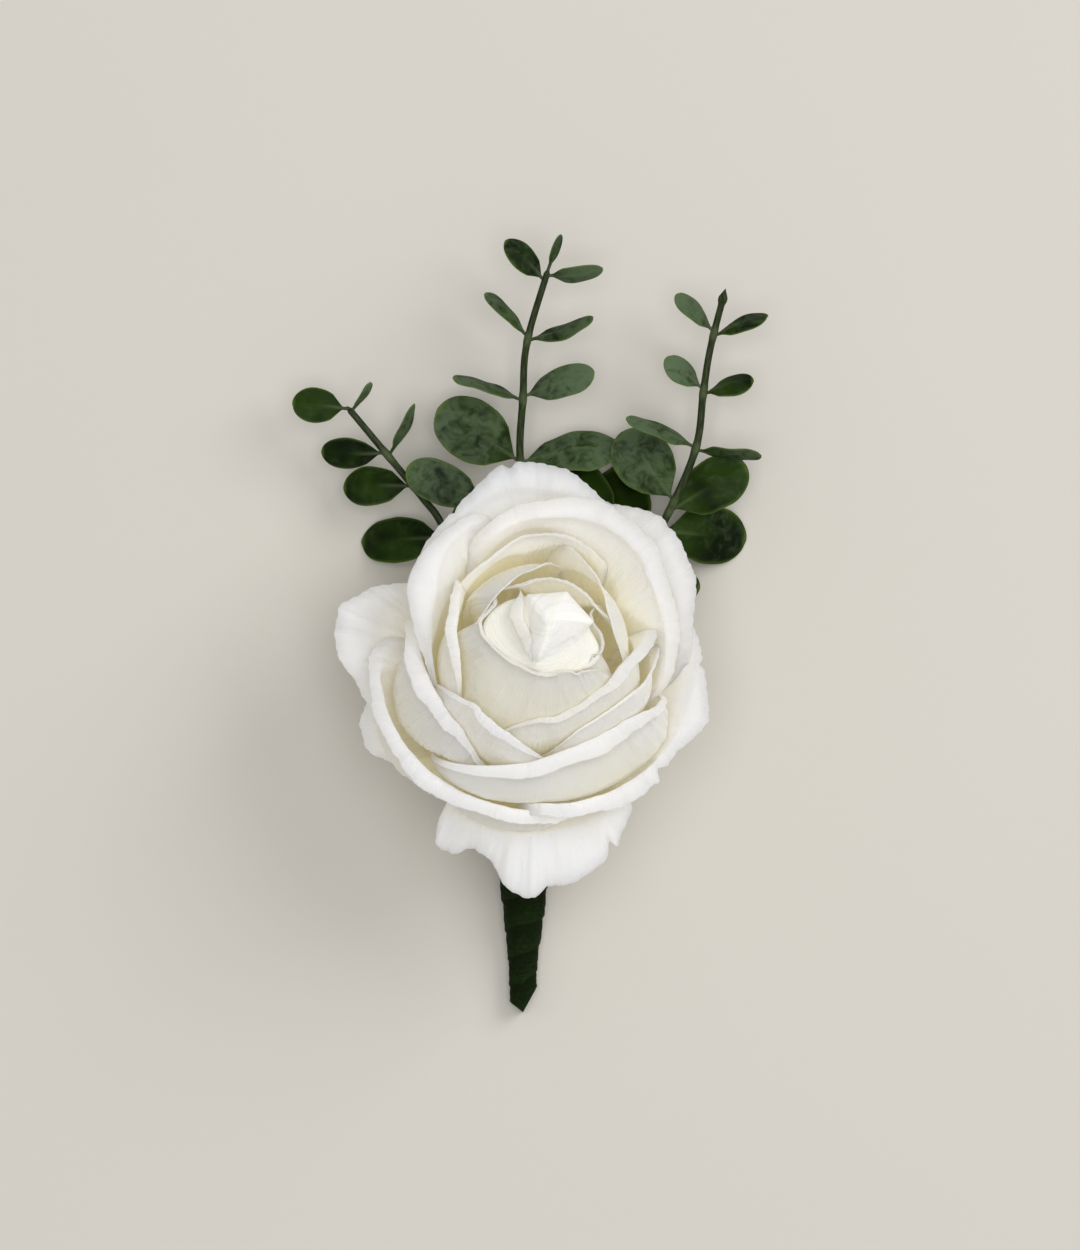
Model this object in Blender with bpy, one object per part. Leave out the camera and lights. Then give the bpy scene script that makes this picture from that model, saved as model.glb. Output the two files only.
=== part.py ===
"""A boutonniere: a white rose, three eucalyptus sprigs and a stem bound in florist's tape.

It lies on its back on a flat surface at z = 0, with the flower up and the stem along -Y.
Run it with: blender --background --python part.py
Lengths in the tables are millimetres, and MM turns them into metres.
"""
from collections import namedtuple
from math import radians

import bmesh
import bpy
import numpy as np

MM = 0.001
GAP = 0.3                      # between two pieces that touch
SHARP_ANGLE = 50.0             # degrees between two faces from which their edge stays sharp
NEVER_AHEAD = (0.0, 0.3, 1.0)  # a direction that no stem takes, which sets a tube's sides

# The flower head. Its own axis leans from straight up towards the sprigs and to the right.
HEAD_BASE = (-1.0, -12.4, 15.5)
HEAD_LEAN_BACK = 17.0          # degrees, towards +Y
HEAD_LEAN_RIGHT = 6.3          # degrees, towards +X

# The petals are nested layers of one bowl: a layer's radius is its girth times WALL, which holds
# values for heights from 0 to WALL_TOP, evenly spaced. A petal with more girth lies outside.
WALL = (0.20, 0.47, 0.71, 0.88, 0.98, 0.99, 0.87, 0.60, 0.28)
WALL_TOP = 48.0
PETAL_FOOT = 0.4               # height at which every petal leaves the calyx
PETAL_THICK = 0.45             # at its full girth; it thins with WALL towards the foot
LIP_FLAT = 0.5                 # height of a rolled lip against a round one
CORNER_DROP = 0.26             # share of its height that a petal loses at its corners
CORNER_TRIM = 0.5              # share of its length that a lip loses there
CORNER_POWER = 10              # how near its ends a petal starts to round off
PETAL_CELLS = (8, 6, 2)        # across, up to the crest, over the lip
PETAL_CELLS_SPAN = 130.0       # degrees that those cells across cover; a wider petal has more
END_CLUSTER = 0.08             # how far the cells across crowd towards a petal's ends
FOOT_CLUSTER = 1.2             # power that crowds the cells up towards the foot

# The taped stem.
TAPE_TOP = (-1.3, -29.0)       # x and y of its open upper end
TAPE_END = (-1.5, -76.5)       # x and y of the cut tip
TAPE_RADII = (4.9, 4.9, 4.75, 3.7, 2.75, 2.6)
TAPE_WALL = 0.7
TAPE_SLANT = (4.6, 2.1)        # how far the cut end is drawn back on its right and left side
TAPE_SLANT_POWER = 8           # how near the end the slant starts
TAPE_SIDES = 20
TAPE_RINGS = 11

# The calyx: the rings of its surface from the bottom, each with its radius and height, and the
# shares of the sepals' length that it reaches out and drops by.
SEPAL_LENGTH = 8.0
SEPALS = 5
CALYX_SIDES = 30
CALYX_SEAT = PETAL_FOOT - GAP - 0.1
CALYX_RINGS = (
    (1.9, -6.9, 0.0, 0.0), (2.8, -6.3, 0.0, 0.0), (5.2, -4.2, 0.0, 0.0), (8.0, -1.8, 0.1, 0.0),
    (9.2, -1.2, 0.5, 0.05), (9.6, -1.4, 1.0, 0.22), (9.6, -0.9, 1.0, 0.22), (9.4, -0.5, 0.5, 0.05),
    (8.8, CALYX_SEAT, 0.0, 0.0), (3.0, CALYX_SEAT, 0.0, 0.0),
)

ROSE_STEM_RADIUS = 1.5
ROSE_STEM_CELLS = (22, 8)      # rings and sides
SPRIG_RADIUS = 0.85            # where a sprig leaves the tape
SPRIG_TIP_RADIUS = 0.45
SPRIG_TAPER_POWER = 1.5
SPRIG_CELLS = (20, 6)          # rings below the bud, and sides
BUD_START = 0.96               # where a sprig's closed bud starts along its path
BUD_RADIUS = 0.8
BUD_TIP_RADIUS = 0.15

LEAF_THICK = 0.5
LEAF_CELLS = (7, 2)            # along the blade and across it
LEAF_FOLD = 0.12               # slope of each half of a blade, down from the midrib
LEAF_SKEW = 1.15               # power that moves a blade's widest place past its middle
LEAF_WEDGE = 0.25              # share of a blade that narrows to a wedge at its base
LEAF_WEDGE_POWER = 0.35
STALK_WIDTH = 0.9
STEEPEST = 0.75                # sine of the angle up to which a slanting stalk is moved out

# Colour, roughness and metallic value of each kind of piece.
PETAL_WHITE = ((0.86, 0.84, 0.78), 0.6, 0.0)
LEAF_GREEN = ((0.03, 0.09, 0.03), 0.45, 0.0)
STEM_GREEN = ((0.05, 0.12, 0.04), 0.5, 0.0)
CALYX_GREEN = ((0.06, 0.14, 0.04), 0.55, 0.0)
TAPE_GREEN = ((0.012, 0.022, 0.01), 0.75, 0.0)

# A petal spans the azimuths start..end in degrees, anticlockwise from +X about the head's axis. Its
# girth, the height of its crest and the length of its lip are given at evenly spaced azimuths. The
# lip goes on from the crest and rolls outwards until it leans by the roll angle.
Petal = namedtuple("Petal", "name start end girth height lip roll")
PETALS = (
    Petal("petal_heart", -20, 400, (3.0, 4.0, 5.0, 6.2, 7.4), (41, 43, 43.5, 43.5, 41),
          (0.8, 0.8, 0.8, 0.8, 0.8), 10),
    Petal("petal_core_right", -85, 72, (9.0, 11.0, 14.0, 13.6, 11.4), (37, 41.5, 42.5, 43, 40),
          (0.8, 1.0, 1.0, 1.0, 0.8), 20),
    Petal("petal_core_left", 100, 290, (10.5, 12.6, 12.8, 12.6, 11.6), (38, 42, 42.5, 42, 38),
          (0.8, 1.0, 1.0, 1.0, 0.8), 20),
    Petal("petal_bud_top", 78, 192, (16.0, 18.4, 17.0, 16.4, 15.6), (35, 41, 41, 39.5, 34),
          (0.8, 1.0, 1.0, 1.0, 0.8), 20),
    Petal("petal_bud_left", 150, 276, (18.4, 17.9, 15.2, 14.2, 13.8), (34, 39, 39.5, 39, 36),
          (0.8, 1.0, 1.2, 1.0, 0.8), 25),
    Petal("petal_bud_right", 258, 372, (15.6, 15.0, 16.0, 17.0, 16.2), (34, 39, 39.5, 40, 39),
          (0.8, 1.0, 1.2, 1.0, 0.8), 25),
    Petal("petal_inner_right", -26, 75, (18.6, 18.8, 18.6, 19.2, 19.6), (33, 39, 39, 38, 33),
          (0.8, 1.0, 1.0, 1.0, 0.8), 25),
    Petal("petal_inner_top", 55, 140, (21.0, 22.8, 23.2, 20.6, 19.6), (31, 35.5, 36, 35, 31),
          (0.8, 1.2, 1.4, 1.2, 0.8), 35),
    Petal("petal_inner_left", 144, 213, (19.8, 19.6, 19.4, 19.4, 19.6), (30, 35.5, 36, 35, 31),
          (1.2, 3.0, 4.0, 3.2, 1.2), 95),
    Petal("petal_inner_low_right", -122, 8, (20.7, 18.8, 18.4, 20.4, 20.6),
          (32, 35.5, 37, 37.5, 34), (1.0, 2.0, 3.0, 4.8, 3.0), 90),
    Petal("petal_inner_low_left", 205, 268, (21.4, 22.1, 22.9, 23.4, 23.0),
          (30, 34.5, 35, 34.5, 30), (1.2, 2.6, 4.0, 3.6, 1.2), 95),
    Petal("petal_middle_thin", -88, 0, (21.3, 20.2, 20.6, 22.3, 22.8), (29, 33, 33.5, 33, 29),
          (0.8, 1.0, 1.0, 1.0, 0.8), 30),
    Petal("petal_middle_top", -20, 128, (24.4, 25.0, 27.6, 26.0, 22.2), (29, 33, 33.5, 33, 29),
          (1.4, 4.4, 6.0, 5.0, 1.6), 105),
    Petal("petal_outer_left", 108, 202, (28.2, 26.8, 23.0, 21.9, 21.6), (26, 30, 31, 31, 27),
          (1.2, 3.6, 8.4, 3.6, 1.0), 105),
    Petal("petal_middle_left", 165, 244, (24.3, 23.6, 23.4, 24.6, 25.8), (25, 28.2, 30, 31, 28),
          (2.0, 6.0, 6.8, 4.8, 1.4), 105),
    Petal("petal_middle_low", 225, 340, (30.1, 26.4, 22.8, 22.6, 26.2), (26, 31, 31, 31, 27),
          (1.4, 5.4, 6.0, 5.8, 1.4), 115),
    Petal("petal_outer_top", 48, 150, (29.4, 31.4, 32.4, 30.6, 28.6), (22, 27.5, 28, 27, 22),
          (1.0, 4.6, 6.2, 3.8, 1.4), 110),
    Petal("petal_outer_right", -10, 72, (29.2, 28.8, 29.4, 31.8, 34.0), (19, 25, 26.5, 24.5, 18),
          (1.4, 2.8, 7.0, 6.4, 1.8), 110),
    Petal("petal_outer_low_left", 168, 285, (31.6, 32.6, 33.1, 31.9, 30.4),
          (18, 23.5, 24.5, 25, 25), (1.4, 3.8, 5.6, 4.6, 3.4), 110),
    Petal("petal_outer_low_right", -98, 22, (34.2, 33.4, 32.0, 31.6, 31.6), (18, 22.5, 24, 23.5, 18),
          (2.4, 5.0, 4.6, 3.6, 1.4), 110),
    Petal("petal_guard_left", 138, 206, (37.0, 37.4, 38.0, 37.8, 37.4), (12, 16, 17.5, 16, 11),
          (1.4, 4.8, 6.2, 4.8, 2.0), 100),
    Petal("petal_guard_low_left", 184, 226, (41.5, 42.5, 42.5, 42.0, 41.5), (9.5, 12.5, 13, 12.5, 9.5),
          (1.4, 4.0, 4.8, 3.4, 1.4), 100),
    Petal("petal_guard_low", 238, 294, (39.0, 41.0, 42.0, 41.0, 39.0), (14, 15, 16, 15, 14),
          (15.0, 12.0, 14.5, 11.0, 10.0), 85),
    Petal("petal_guard_back", 12, 118, (38.0, 40.0, 40.0, 40.0, 38.0), (11, 14, 15, 14, 11),
          (2.0, 4.2, 5.6, 4.2, 2.0), 105),
)

# Stems, each a smooth path of x, y and z from its cut end inside the tape to its tip.
ROSE_STEM_PATH = ((-1.4, -64.0, 3.3), (-1.3, -50.0, 5.4), (-1.3, -36.0, 6.0), (-1.35, -26.0, 5.1),
                  (-1.4, -20.0, 4.5), (-1.52, -16.6, 5.4), (-1.72, -14.85, 7.9),
                  (-1.79, -14.6, 8.55))
SPRIG_PATHS = {
    "left": ((-3.5, -53.0, 3.4), (-3.9, -38.0, 3.8), (-4.3, -27.0, 4.0), (-6.6, -14.0, 5.0),
             (-10.8, 2.0, 6.6), (-17.1, 19.0, 9.0), (-21.5, 25.4, 9.8), (-28.4, 33.8, 11.0),
             (-36.2, 43.2, 13.0)),
    "centre": ((-1.2, -51.0, 2.2), (-1.2, -38.0, 2.4), (-0.9, -27.0, 2.1), (1.7, -14.0, 2.6),
               (0.8, 8.0, 5.5), (-2.0, 31.3, 9.5), (-1.5, 44.9, 12.0), (-0.7, 55.7, 14.5),
               (3.6, 70.4, 18.1)),
    "right": ((0.9, -53.0, 3.4), (1.3, -38.0, 3.8), (1.7, -27.0, 4.0), (6.6, -14.0, 4.8),
              (15.5, 1.0, 6.8), (26.8, 21.5, 9.6), (32.5, 34.8, 11.5), (34.0, 45.9, 13.0),
              (35.4, 54.7, 14.5), (38.1, 68.6, 17.0)),
}

# A leaf leaves its sprig at a point given by y, with a heading in plan (degrees from +X), a pitch
# upwards and a roll about its midrib. Its stalk is the thin first part of its length.
Leaf = namedtuple("Leaf", "name sprig y heading pitch roll length width stalk arch")
LEAVES = (
    Leaf("leaf_left_1", "left", 42.6, 174, 4, 8, 9.6, 7.0, 1.0, 0.5),
    Leaf("leaf_left_2", "left", 42.0, 56, 25, 70, 6.4, 3.6, 1.0, 0.4),
    Leaf("leaf_left_3", "left", 34.0, 179, -6, -20, 11.2, 6.4, 1.2, 0.8),
    Leaf("leaf_left_4", "left", 33.2, 64, 15, 72, 10.6, 5.2, 1.2, 0.6),
    Leaf("leaf_left_5", "left", 27.6, 181, -10, 12, 12.4, 8.0, 1.2, 0.9),
    Leaf("leaf_left_6", "left", 17.2, 183, -26.4, 10, 17.8, 9.2, 1.5, 1.0),
    Leaf("leaf_left_7", "left", 15.0, 64, -12, 10, 10.0, 7.0, 1.5, 0.6),
    Leaf("leaf_centre_1", "centre", 67.6, 135, 10, 30, 9.8, 5.6, 1.0, 0.6),
    Leaf("leaf_centre_2", "centre", 67.6, 5, 0, 58, 10.0, 5.0, 1.0, 0.8),
    Leaf("leaf_centre_3", "centre", 69.7, 70, 20, 50, 6.0, 2.4, 0.8, 0.2),
    Leaf("leaf_centre_4", "centre", 56.8, 135, 12, 62, 10.8, 5.4, 1.2, 0.7),
    Leaf("leaf_centre_5", "centre", 56.0, 17, 5, -58, 12.4, 5.6, 1.2, -0.6),
    Leaf("leaf_centre_6", "centre", 44.4, 162, 10, 68, 13.4, 6.0, 1.4, 0.6),
    Leaf("leaf_centre_7", "centre", 44.0, 15, 6, -25, 13.6, 6.8, 1.4, 0.6),
    Leaf("leaf_centre_8", "centre", 32.2, 150, 4, 8, 17.8, 12.4, 1.6, 0.8),
    Leaf("leaf_centre_9", "centre", 31.6, 8, -8, -35, 19.2, 9.6, 1.6, 1.0),
    Leaf("leaf_centre_10", "centre", 20.6, 156, 13, 6, 25.0, 8.6, 9.0, 1.0),
    Leaf("leaf_right_1", "right", 57.8, 136, 8, 50, 9.2, 5.6, 1.0, 0.5),
    Leaf("leaf_right_2", "right", 57.0, 20, 12, -55, 10.2, 5.0, 1.0, 0.4),
    Leaf("leaf_right_3", "right", 46.8, 139, 10, 45, 8.0, 5.8, 1.2, 0.5),
    Leaf("leaf_right_4", "right", 45.4, 23, 12, -45, 8.6, 6.0, 1.2, 0.5),
    Leaf("leaf_right_5", "right", 35.2, 158, 12, 58, 14.0, 5.6, 1.2, 0.6),
    Leaf("leaf_right_6", "right", 34.6, 355, 15, 68, 12.2, 6.0, 1.2, 0.5),
    Leaf("leaf_right_7", "right", 24.4, 127, -6, 10, 15.8, 11.8, 1.6, 0.8),
    Leaf("leaf_right_8", "right", 21.8, 25, 5, -8, 16.4, 10.4, 1.6, 0.8),
    Leaf("leaf_right_9", "right", 18.6, 355, -27.2, 6, 18.2, 11.6, 1.8, 1.0),
    Leaf("leaf_right_10", "right", 9.0, 352, -12, 10, 12.4, 7.6, 2.0, 0.6),
    Leaf("leaf_back_1", "right", 14.6, 144, -14, 8, 22.0, 10.0, 7.0, 0.6),
    Leaf("leaf_back_2", "right", 11.6, 106, -22, -8, 15.0, 9.0, 3.0, 0.6),
)


def smooth(values, places):
    """A Catmull-Rom curve through evenly spaced values, read at places from 0 to 1."""
    values = np.asarray(values, float)
    last = len(values) - 1
    at = np.clip(np.asarray(places, float), 0.0, 1.0) * last
    left = np.minimum(at.astype(int), last - 1)
    part = at - left
    if values.ndim > 1:
        part = part[:, None]
    padded = np.concatenate([[2 * values[0] - values[1]], values, [2 * values[-1] - values[-2]]])
    before, start, end, after = (padded[left + step] for step in range(4))
    return 0.5 * (2 * start + (end - before) * part
                  + (2 * before - 5 * start + 4 * end - after) * part ** 2
                  + (3 * start - before - 3 * end + after) * part ** 3)


def material(name, look):
    """A Principled material of one colour, roughness and metallic value."""
    made = bpy.data.materials.new(name)
    made.use_nodes = True
    shader = made.node_tree.nodes["Principled BSDF"]
    colour, roughness, metallic = look
    shader.inputs["Base Color"].default_value = (*colour, 1.0)
    shader.inputs["Roughness"].default_value = roughness
    shader.inputs["Metallic"].default_value = metallic
    made.diffuse_color = (*colour, 1.0)
    return made


def add_object(name, vertices, faces, look, parent=None):
    """One closed, smooth-shaded mesh object from vertices in millimetres."""
    mesh = bpy.data.meshes.new(name)
    mesh.from_pydata((np.asarray(vertices) * MM).tolist(), [], faces)
    work = bmesh.new()
    work.from_mesh(mesh)
    bmesh.ops.recalc_face_normals(work, faces=work.faces)
    work.to_mesh(mesh)
    work.free()
    mesh.shade_smooth()
    mesh.set_sharp_from_angle(angle=radians(SHARP_ANGLE))
    mesh.materials.append(material(name, look))
    made = bpy.data.objects.new(name, mesh)
    made.parent = parent
    bpy.context.collection.objects.link(made)
    return made


def thick_sheet(middle, thickness):
    """Vertices and faces of a closed sheet about a grid of points, thickness given per point."""
    rows, columns = middle.shape[:2]
    normal = np.cross(np.gradient(middle, axis=0), np.gradient(middle, axis=1))
    normal /= np.linalg.norm(normal, axis=2, keepdims=True)
    offset = normal * (thickness / 2)[..., None]
    vertices = np.concatenate([(middle + offset).reshape(-1, 3), (middle - offset).reshape(-1, 3)])
    under = rows * columns
    faces = []
    for row in range(rows - 1):
        for column in range(columns - 1):
            a = row * columns + column
            quad = (a, a + 1, a + columns + 1, a + columns)
            faces.append(quad)
            faces.append(tuple(under + corner for corner in reversed(quad)))
    rim = ([column for column in range(columns - 1)]
           + [row * columns + columns - 1 for row in range(rows - 1)]
           + [under - 1 - column for column in range(columns - 1)]
           + [row * columns for row in range(rows - 1, 0, -1)])
    for here, following in zip(rim, rim[1:] + rim[:1]):
        faces.append((following, here, here + under, following + under))
    return vertices, faces


def tube(path, radii, sides):
    """Vertices and faces of a closed tube along a path, with a flat cap on each end."""
    path = np.asarray(path, float)
    ahead = np.gradient(path, axis=0)
    ahead /= np.linalg.norm(ahead, axis=1, keepdims=True)
    across = np.cross(ahead, NEVER_AHEAD)
    across /= np.linalg.norm(across, axis=1, keepdims=True)
    up = np.cross(across, ahead)
    turn = np.arange(sides) * 2 * np.pi / sides
    ring = (np.cos(turn)[None, :, None] * across[:, None] + np.sin(turn)[None, :, None] * up[:, None])
    vertices = path[:, None] + np.asarray(radii)[:, None, None] * ring
    return vertices.reshape(-1, 3), ring_faces(len(path), sides)


def ring_faces(rings, sides):
    """Quads between rings of vertices, with a cap over the first and the last ring."""
    faces = [tuple(range(sides)), tuple(range(rings * sides - 1, (rings - 1) * sides - 1, -1))]
    for ring in range(rings - 1):
        for side in range(sides):
            a = ring * sides + side
            b = ring * sides + (side + 1) % sides
            faces.append((a, b, b + sides, a + sides))
    return faces


def wall(height):
    """The share of its girth that a layer of the bowl has as its radius at this height."""
    return smooth(WALL, height / WALL_TOP)


def petal_surface(petal, across, rise, over):
    """Points of a petal's middle surface, in the head's frame, and its thickness at each.

    The wall climbs from the foot to the crest on its layer of the bowl. The lip starts along the
    wall's own slope and turns outwards on an arc.
    """
    azimuth = np.radians(petal.start + (petal.end - petal.start) * across)[:, None]
    girth = smooth(petal.girth, across)[:, None]
    corner = np.abs(2 * across - 1) ** CORNER_POWER
    crest = (smooth(petal.height, across) * (1 - CORNER_DROP * corner))[:, None]
    length = (smooth(petal.lip, across) * (1 - CORNER_TRIM * corner))[:, None]
    climb = PETAL_FOOT + (crest - PETAL_FOOT) * rise[None, :] ** FOOT_CLUSTER
    slope = (wall(crest + 0.5) - wall(crest - 0.5)) * girth
    lean = np.arctan(slope)
    turn = lean + (radians(petal.roll) - lean) * over[None, :]
    curl = length / (radians(petal.roll) - lean)
    lip = girth * wall(crest) + curl * (np.cos(lean) - np.cos(turn))
    top = crest + LIP_FLAT * curl * (np.sin(turn) - np.sin(lean))
    radius = np.concatenate([girth * wall(climb), lip], axis=1)
    upward = np.concatenate([climb, top], axis=1)
    points = np.stack([radius * np.cos(azimuth), radius * np.sin(azimuth), upward], axis=2)
    thickness = PETAL_THICK * wall(np.minimum(upward, WALL_TOP / 2))
    return points, thickness


def add_petals(head):
    cells_across, cells_up, cells_over = PETAL_CELLS
    rise = np.linspace(0, 1, cells_up + 1)
    over = np.linspace(0, 1, cells_over + 1)[1:]
    for petal in PETALS:
        wider = max(1.0, (petal.end - petal.start) / PETAL_CELLS_SPAN)
        even = np.linspace(0, 1, round(cells_across * wider) + 1)
        across = even - END_CLUSTER * np.sin(2 * np.pi * even)
        vertices, faces = thick_sheet(*petal_surface(petal, across, rise, over))
        add_object(petal.name, vertices, faces, PETAL_WHITE, head)


def add_calyx(head):
    """The green base: a cup under the petals, with its sepals folded out beneath them."""
    azimuth = np.arange(CALYX_SIDES) * 2 * np.pi / CALYX_SIDES
    sepal = SEPAL_LENGTH * np.abs(np.cos(SEPALS / 2 * azimuth)) ** 3
    vertices = []
    for radius, height, spread, fall in CALYX_RINGS:
        reach = radius + spread * sepal
        level = height - fall * sepal
        vertices.append(np.stack([reach * np.cos(azimuth), reach * np.sin(azimuth), level], axis=1))
    faces = ring_faces(len(CALYX_RINGS), CALYX_SIDES)
    add_object("calyx", np.concatenate(vertices), faces, CALYX_GREEN, head)


def add_rose_stem():
    """The rose's own stem, from the calyx down into the tape."""
    rings, sides = ROSE_STEM_CELLS
    path = smooth(ROSE_STEM_PATH, np.linspace(0, 1, rings))
    vertices, faces = tube(path, np.full(rings, ROSE_STEM_RADIUS), sides)
    add_object("rose_stem", vertices, faces, STEM_GREEN)


def sprig_radius(places):
    """A sprig's radius at places along its path from 0 to 1."""
    return SPRIG_RADIUS + (SPRIG_TIP_RADIUS - SPRIG_RADIUS) * places ** SPRIG_TAPER_POWER


def add_sprigs():
    """The three eucalyptus stems, each with a closed bud at its tip."""
    rings, sides = SPRIG_CELLS
    places = np.concatenate([np.linspace(0, BUD_START, rings), ((1 + BUD_START) / 2, 1.0)])
    radii = sprig_radius(places)
    radii[-2:] = BUD_RADIUS, BUD_TIP_RADIUS
    for name, points in SPRIG_PATHS.items():
        vertices, faces = tube(smooth(points, places), radii, sides)
        add_object(f"sprig_{name}", vertices, faces, STEM_GREEN)


def leaf_surface(leaf, blade, across):
    """Points of a leaf's middle surface: x along the midrib, y across it, z up from the blade.

    The stalk keeps its width. From there the blade's outline is an ellipse whose widest place lies
    past its middle, narrowed to a wedge at the base.
    """
    start = leaf.stalk / leaf.length
    along = np.concatenate([[0.0], start + (1 - start) * blade])
    skewed = np.concatenate([[0.0], blade]) ** LEAF_SKEW
    ellipse = np.sqrt(np.clip(1 - (2 * skewed - 1) ** 2, 0, 1))
    wedge = np.clip(skewed / LEAF_WEDGE, 0, 1) ** LEAF_WEDGE_POWER
    half = np.maximum(leaf.width / 2 * ellipse * wedge, STALK_WIDTH / 2)[:, None]
    x = leaf.length * along[:, None] + 0 * across
    y = half * across
    z = leaf.arch * np.sin(np.pi * along)[:, None] - LEAF_FOLD * np.abs(y)
    return np.stack([x, y, z], axis=2)


def leaf_foot(leaf):
    """Where a leaf's stalk starts: on its sprig's path, moved outwards until it clears the stem.

    A stalk that leaves the stem at a slant moves further, and so does its blunt end.
    """
    places = np.linspace(0, 1, 400)
    path = smooth(SPRIG_PATHS[leaf.sprig], places)
    nearest = int(np.argmin(np.abs(path[:, 1] - leaf.y)))
    heading, pitch = radians(leaf.heading), radians(leaf.pitch)
    outward = np.array([np.cos(heading) * np.cos(pitch), np.sin(heading) * np.cos(pitch),
                        np.sin(pitch)])
    ahead = path[min(nearest + 1, len(path) - 1)] - path[max(nearest - 1, 0)]
    slant = abs(outward @ ahead) / np.linalg.norm(ahead)
    clear = (sprig_radius(places[nearest]) + GAP + 0.1) / max(np.sqrt(1 - slant ** 2), STEEPEST)
    return path[nearest] + outward * (clear + slant ** 2 * STALK_WIDTH / 2)


def add_leaves():
    cells_along, cells_across = LEAF_CELLS
    blade = (1 - np.cos(np.pi * np.linspace(0, 1, cells_along + 1))) / 2
    across = np.linspace(-1, 1, cells_across + 1)
    for leaf in LEAVES:
        middle = leaf_surface(leaf, blade, across)
        vertices, faces = thick_sheet(middle, np.full(middle.shape[:2], LEAF_THICK))
        made = add_object(leaf.name, vertices, faces, LEAF_GREEN)
        made.location = leaf_foot(leaf) * MM
        made.rotation_euler = (radians(leaf.roll), -radians(leaf.pitch), radians(leaf.heading))


def add_tape():
    """The wrap of florist's tape: a tapering sleeve, open at the top and closed at its slanted end."""
    places = np.linspace(0, 1, TAPE_RINGS)
    radii = smooth(TAPE_RADII, places)
    x = TAPE_TOP[0] + (TAPE_END[0] - TAPE_TOP[0]) * places
    y = TAPE_TOP[1] + (TAPE_END[1] - TAPE_TOP[1]) * places
    turn = np.arange(TAPE_SIDES) * 2 * np.pi / TAPE_SIDES
    slant = np.where(np.cos(turn) > 0, *TAPE_SLANT) * np.abs(np.cos(turn))
    outside = []
    for i in range(TAPE_RINGS):
        along = y[i] + slant * places[i] ** TAPE_SLANT_POWER
        outside.append(np.stack([x[i] + radii[i] * np.cos(turn), along,
                                 radii[i] * (1 + np.sin(turn))], axis=1))
    inside = []
    for i in range(TAPE_RINGS - 2, -1, -1):
        inner = radii[i] - TAPE_WALL
        inside.append(np.stack([x[i] + inner * np.cos(turn), np.full(TAPE_SIDES, y[i]),
                                radii[i] + inner * np.sin(turn)], axis=1))
    inside_start = TAPE_RINGS * TAPE_SIDES
    faces = ring_faces(TAPE_RINGS, TAPE_SIDES)[1:]
    lining = ring_faces(TAPE_RINGS - 1, TAPE_SIDES)
    faces += [tuple(corner + inside_start for corner in face) for face in lining[:1] + lining[2:]]
    last = inside_start + (TAPE_RINGS - 2) * TAPE_SIDES
    for side in range(TAPE_SIDES):
        beside = (side + 1) % TAPE_SIDES
        faces.append((side, beside, last + beside, last + side))
    add_object("tape_wrap", np.concatenate(outside + inside), faces, TAPE_GREEN)


def main():
    for old in list(bpy.data.objects):
        bpy.data.objects.remove(old)
    head = bpy.data.objects.new("head", None)
    head.location = np.array(HEAD_BASE) * MM
    head.rotation_euler = (-radians(HEAD_LEAN_BACK), radians(HEAD_LEAN_RIGHT), 0.0)
    bpy.context.collection.objects.link(head)
    add_petals(head)
    add_calyx(head)
    add_rose_stem()
    add_sprigs()
    add_leaves()
    add_tape()


main()
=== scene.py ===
"""A boutonniere: a white rose, three eucalyptus sprigs and a stem bound in florist's tape.

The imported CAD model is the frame: every piece made here stands for one of its nodes, in or close
to its place. The head's bowl, the tape and most of the sprigs' paths and leaves repeat the CAD
source's own sizes. Lengths in the tables are millimetres, and MM turns them into metres.
"""
from collections import namedtuple
from math import radians

import bpy
import numpy as np
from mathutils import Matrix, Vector


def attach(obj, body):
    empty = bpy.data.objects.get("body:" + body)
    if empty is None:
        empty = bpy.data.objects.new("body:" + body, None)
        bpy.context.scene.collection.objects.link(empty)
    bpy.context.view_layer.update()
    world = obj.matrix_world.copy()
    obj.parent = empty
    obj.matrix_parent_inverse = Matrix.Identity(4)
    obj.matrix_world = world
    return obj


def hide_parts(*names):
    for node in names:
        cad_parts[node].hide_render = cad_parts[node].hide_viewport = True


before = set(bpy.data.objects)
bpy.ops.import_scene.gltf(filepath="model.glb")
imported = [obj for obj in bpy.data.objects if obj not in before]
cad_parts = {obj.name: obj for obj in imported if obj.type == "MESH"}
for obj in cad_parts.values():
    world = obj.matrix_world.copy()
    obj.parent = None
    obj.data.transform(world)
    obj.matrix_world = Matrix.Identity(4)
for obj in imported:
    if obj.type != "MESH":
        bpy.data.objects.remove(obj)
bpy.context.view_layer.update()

bl_info = {
    "name": "Boutonniere",
    "version": (1, 0, 0),
    "blender": (4, 5, 0),
    "location": "View3D > Sidebar > Boutonniere",
    "description": "A white rose boutonniere with eucalyptus sprigs and a taped stem",
    "category": "Object",
}

MM = 0.001
NEVER_AHEAD = (0.0, 0.3, 1.0)  # a direction that no stem takes, which sets a tube's sides

# The flower head. Its own axis leans from straight up towards the sprigs and to the right.
HEAD_BASE = (-1.0, -12.4, 15.5)
HEAD_LEAN_BACK = 17.0          # degrees, towards +Y
HEAD_LEAN_RIGHT = 6.3          # degrees, towards +X

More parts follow.
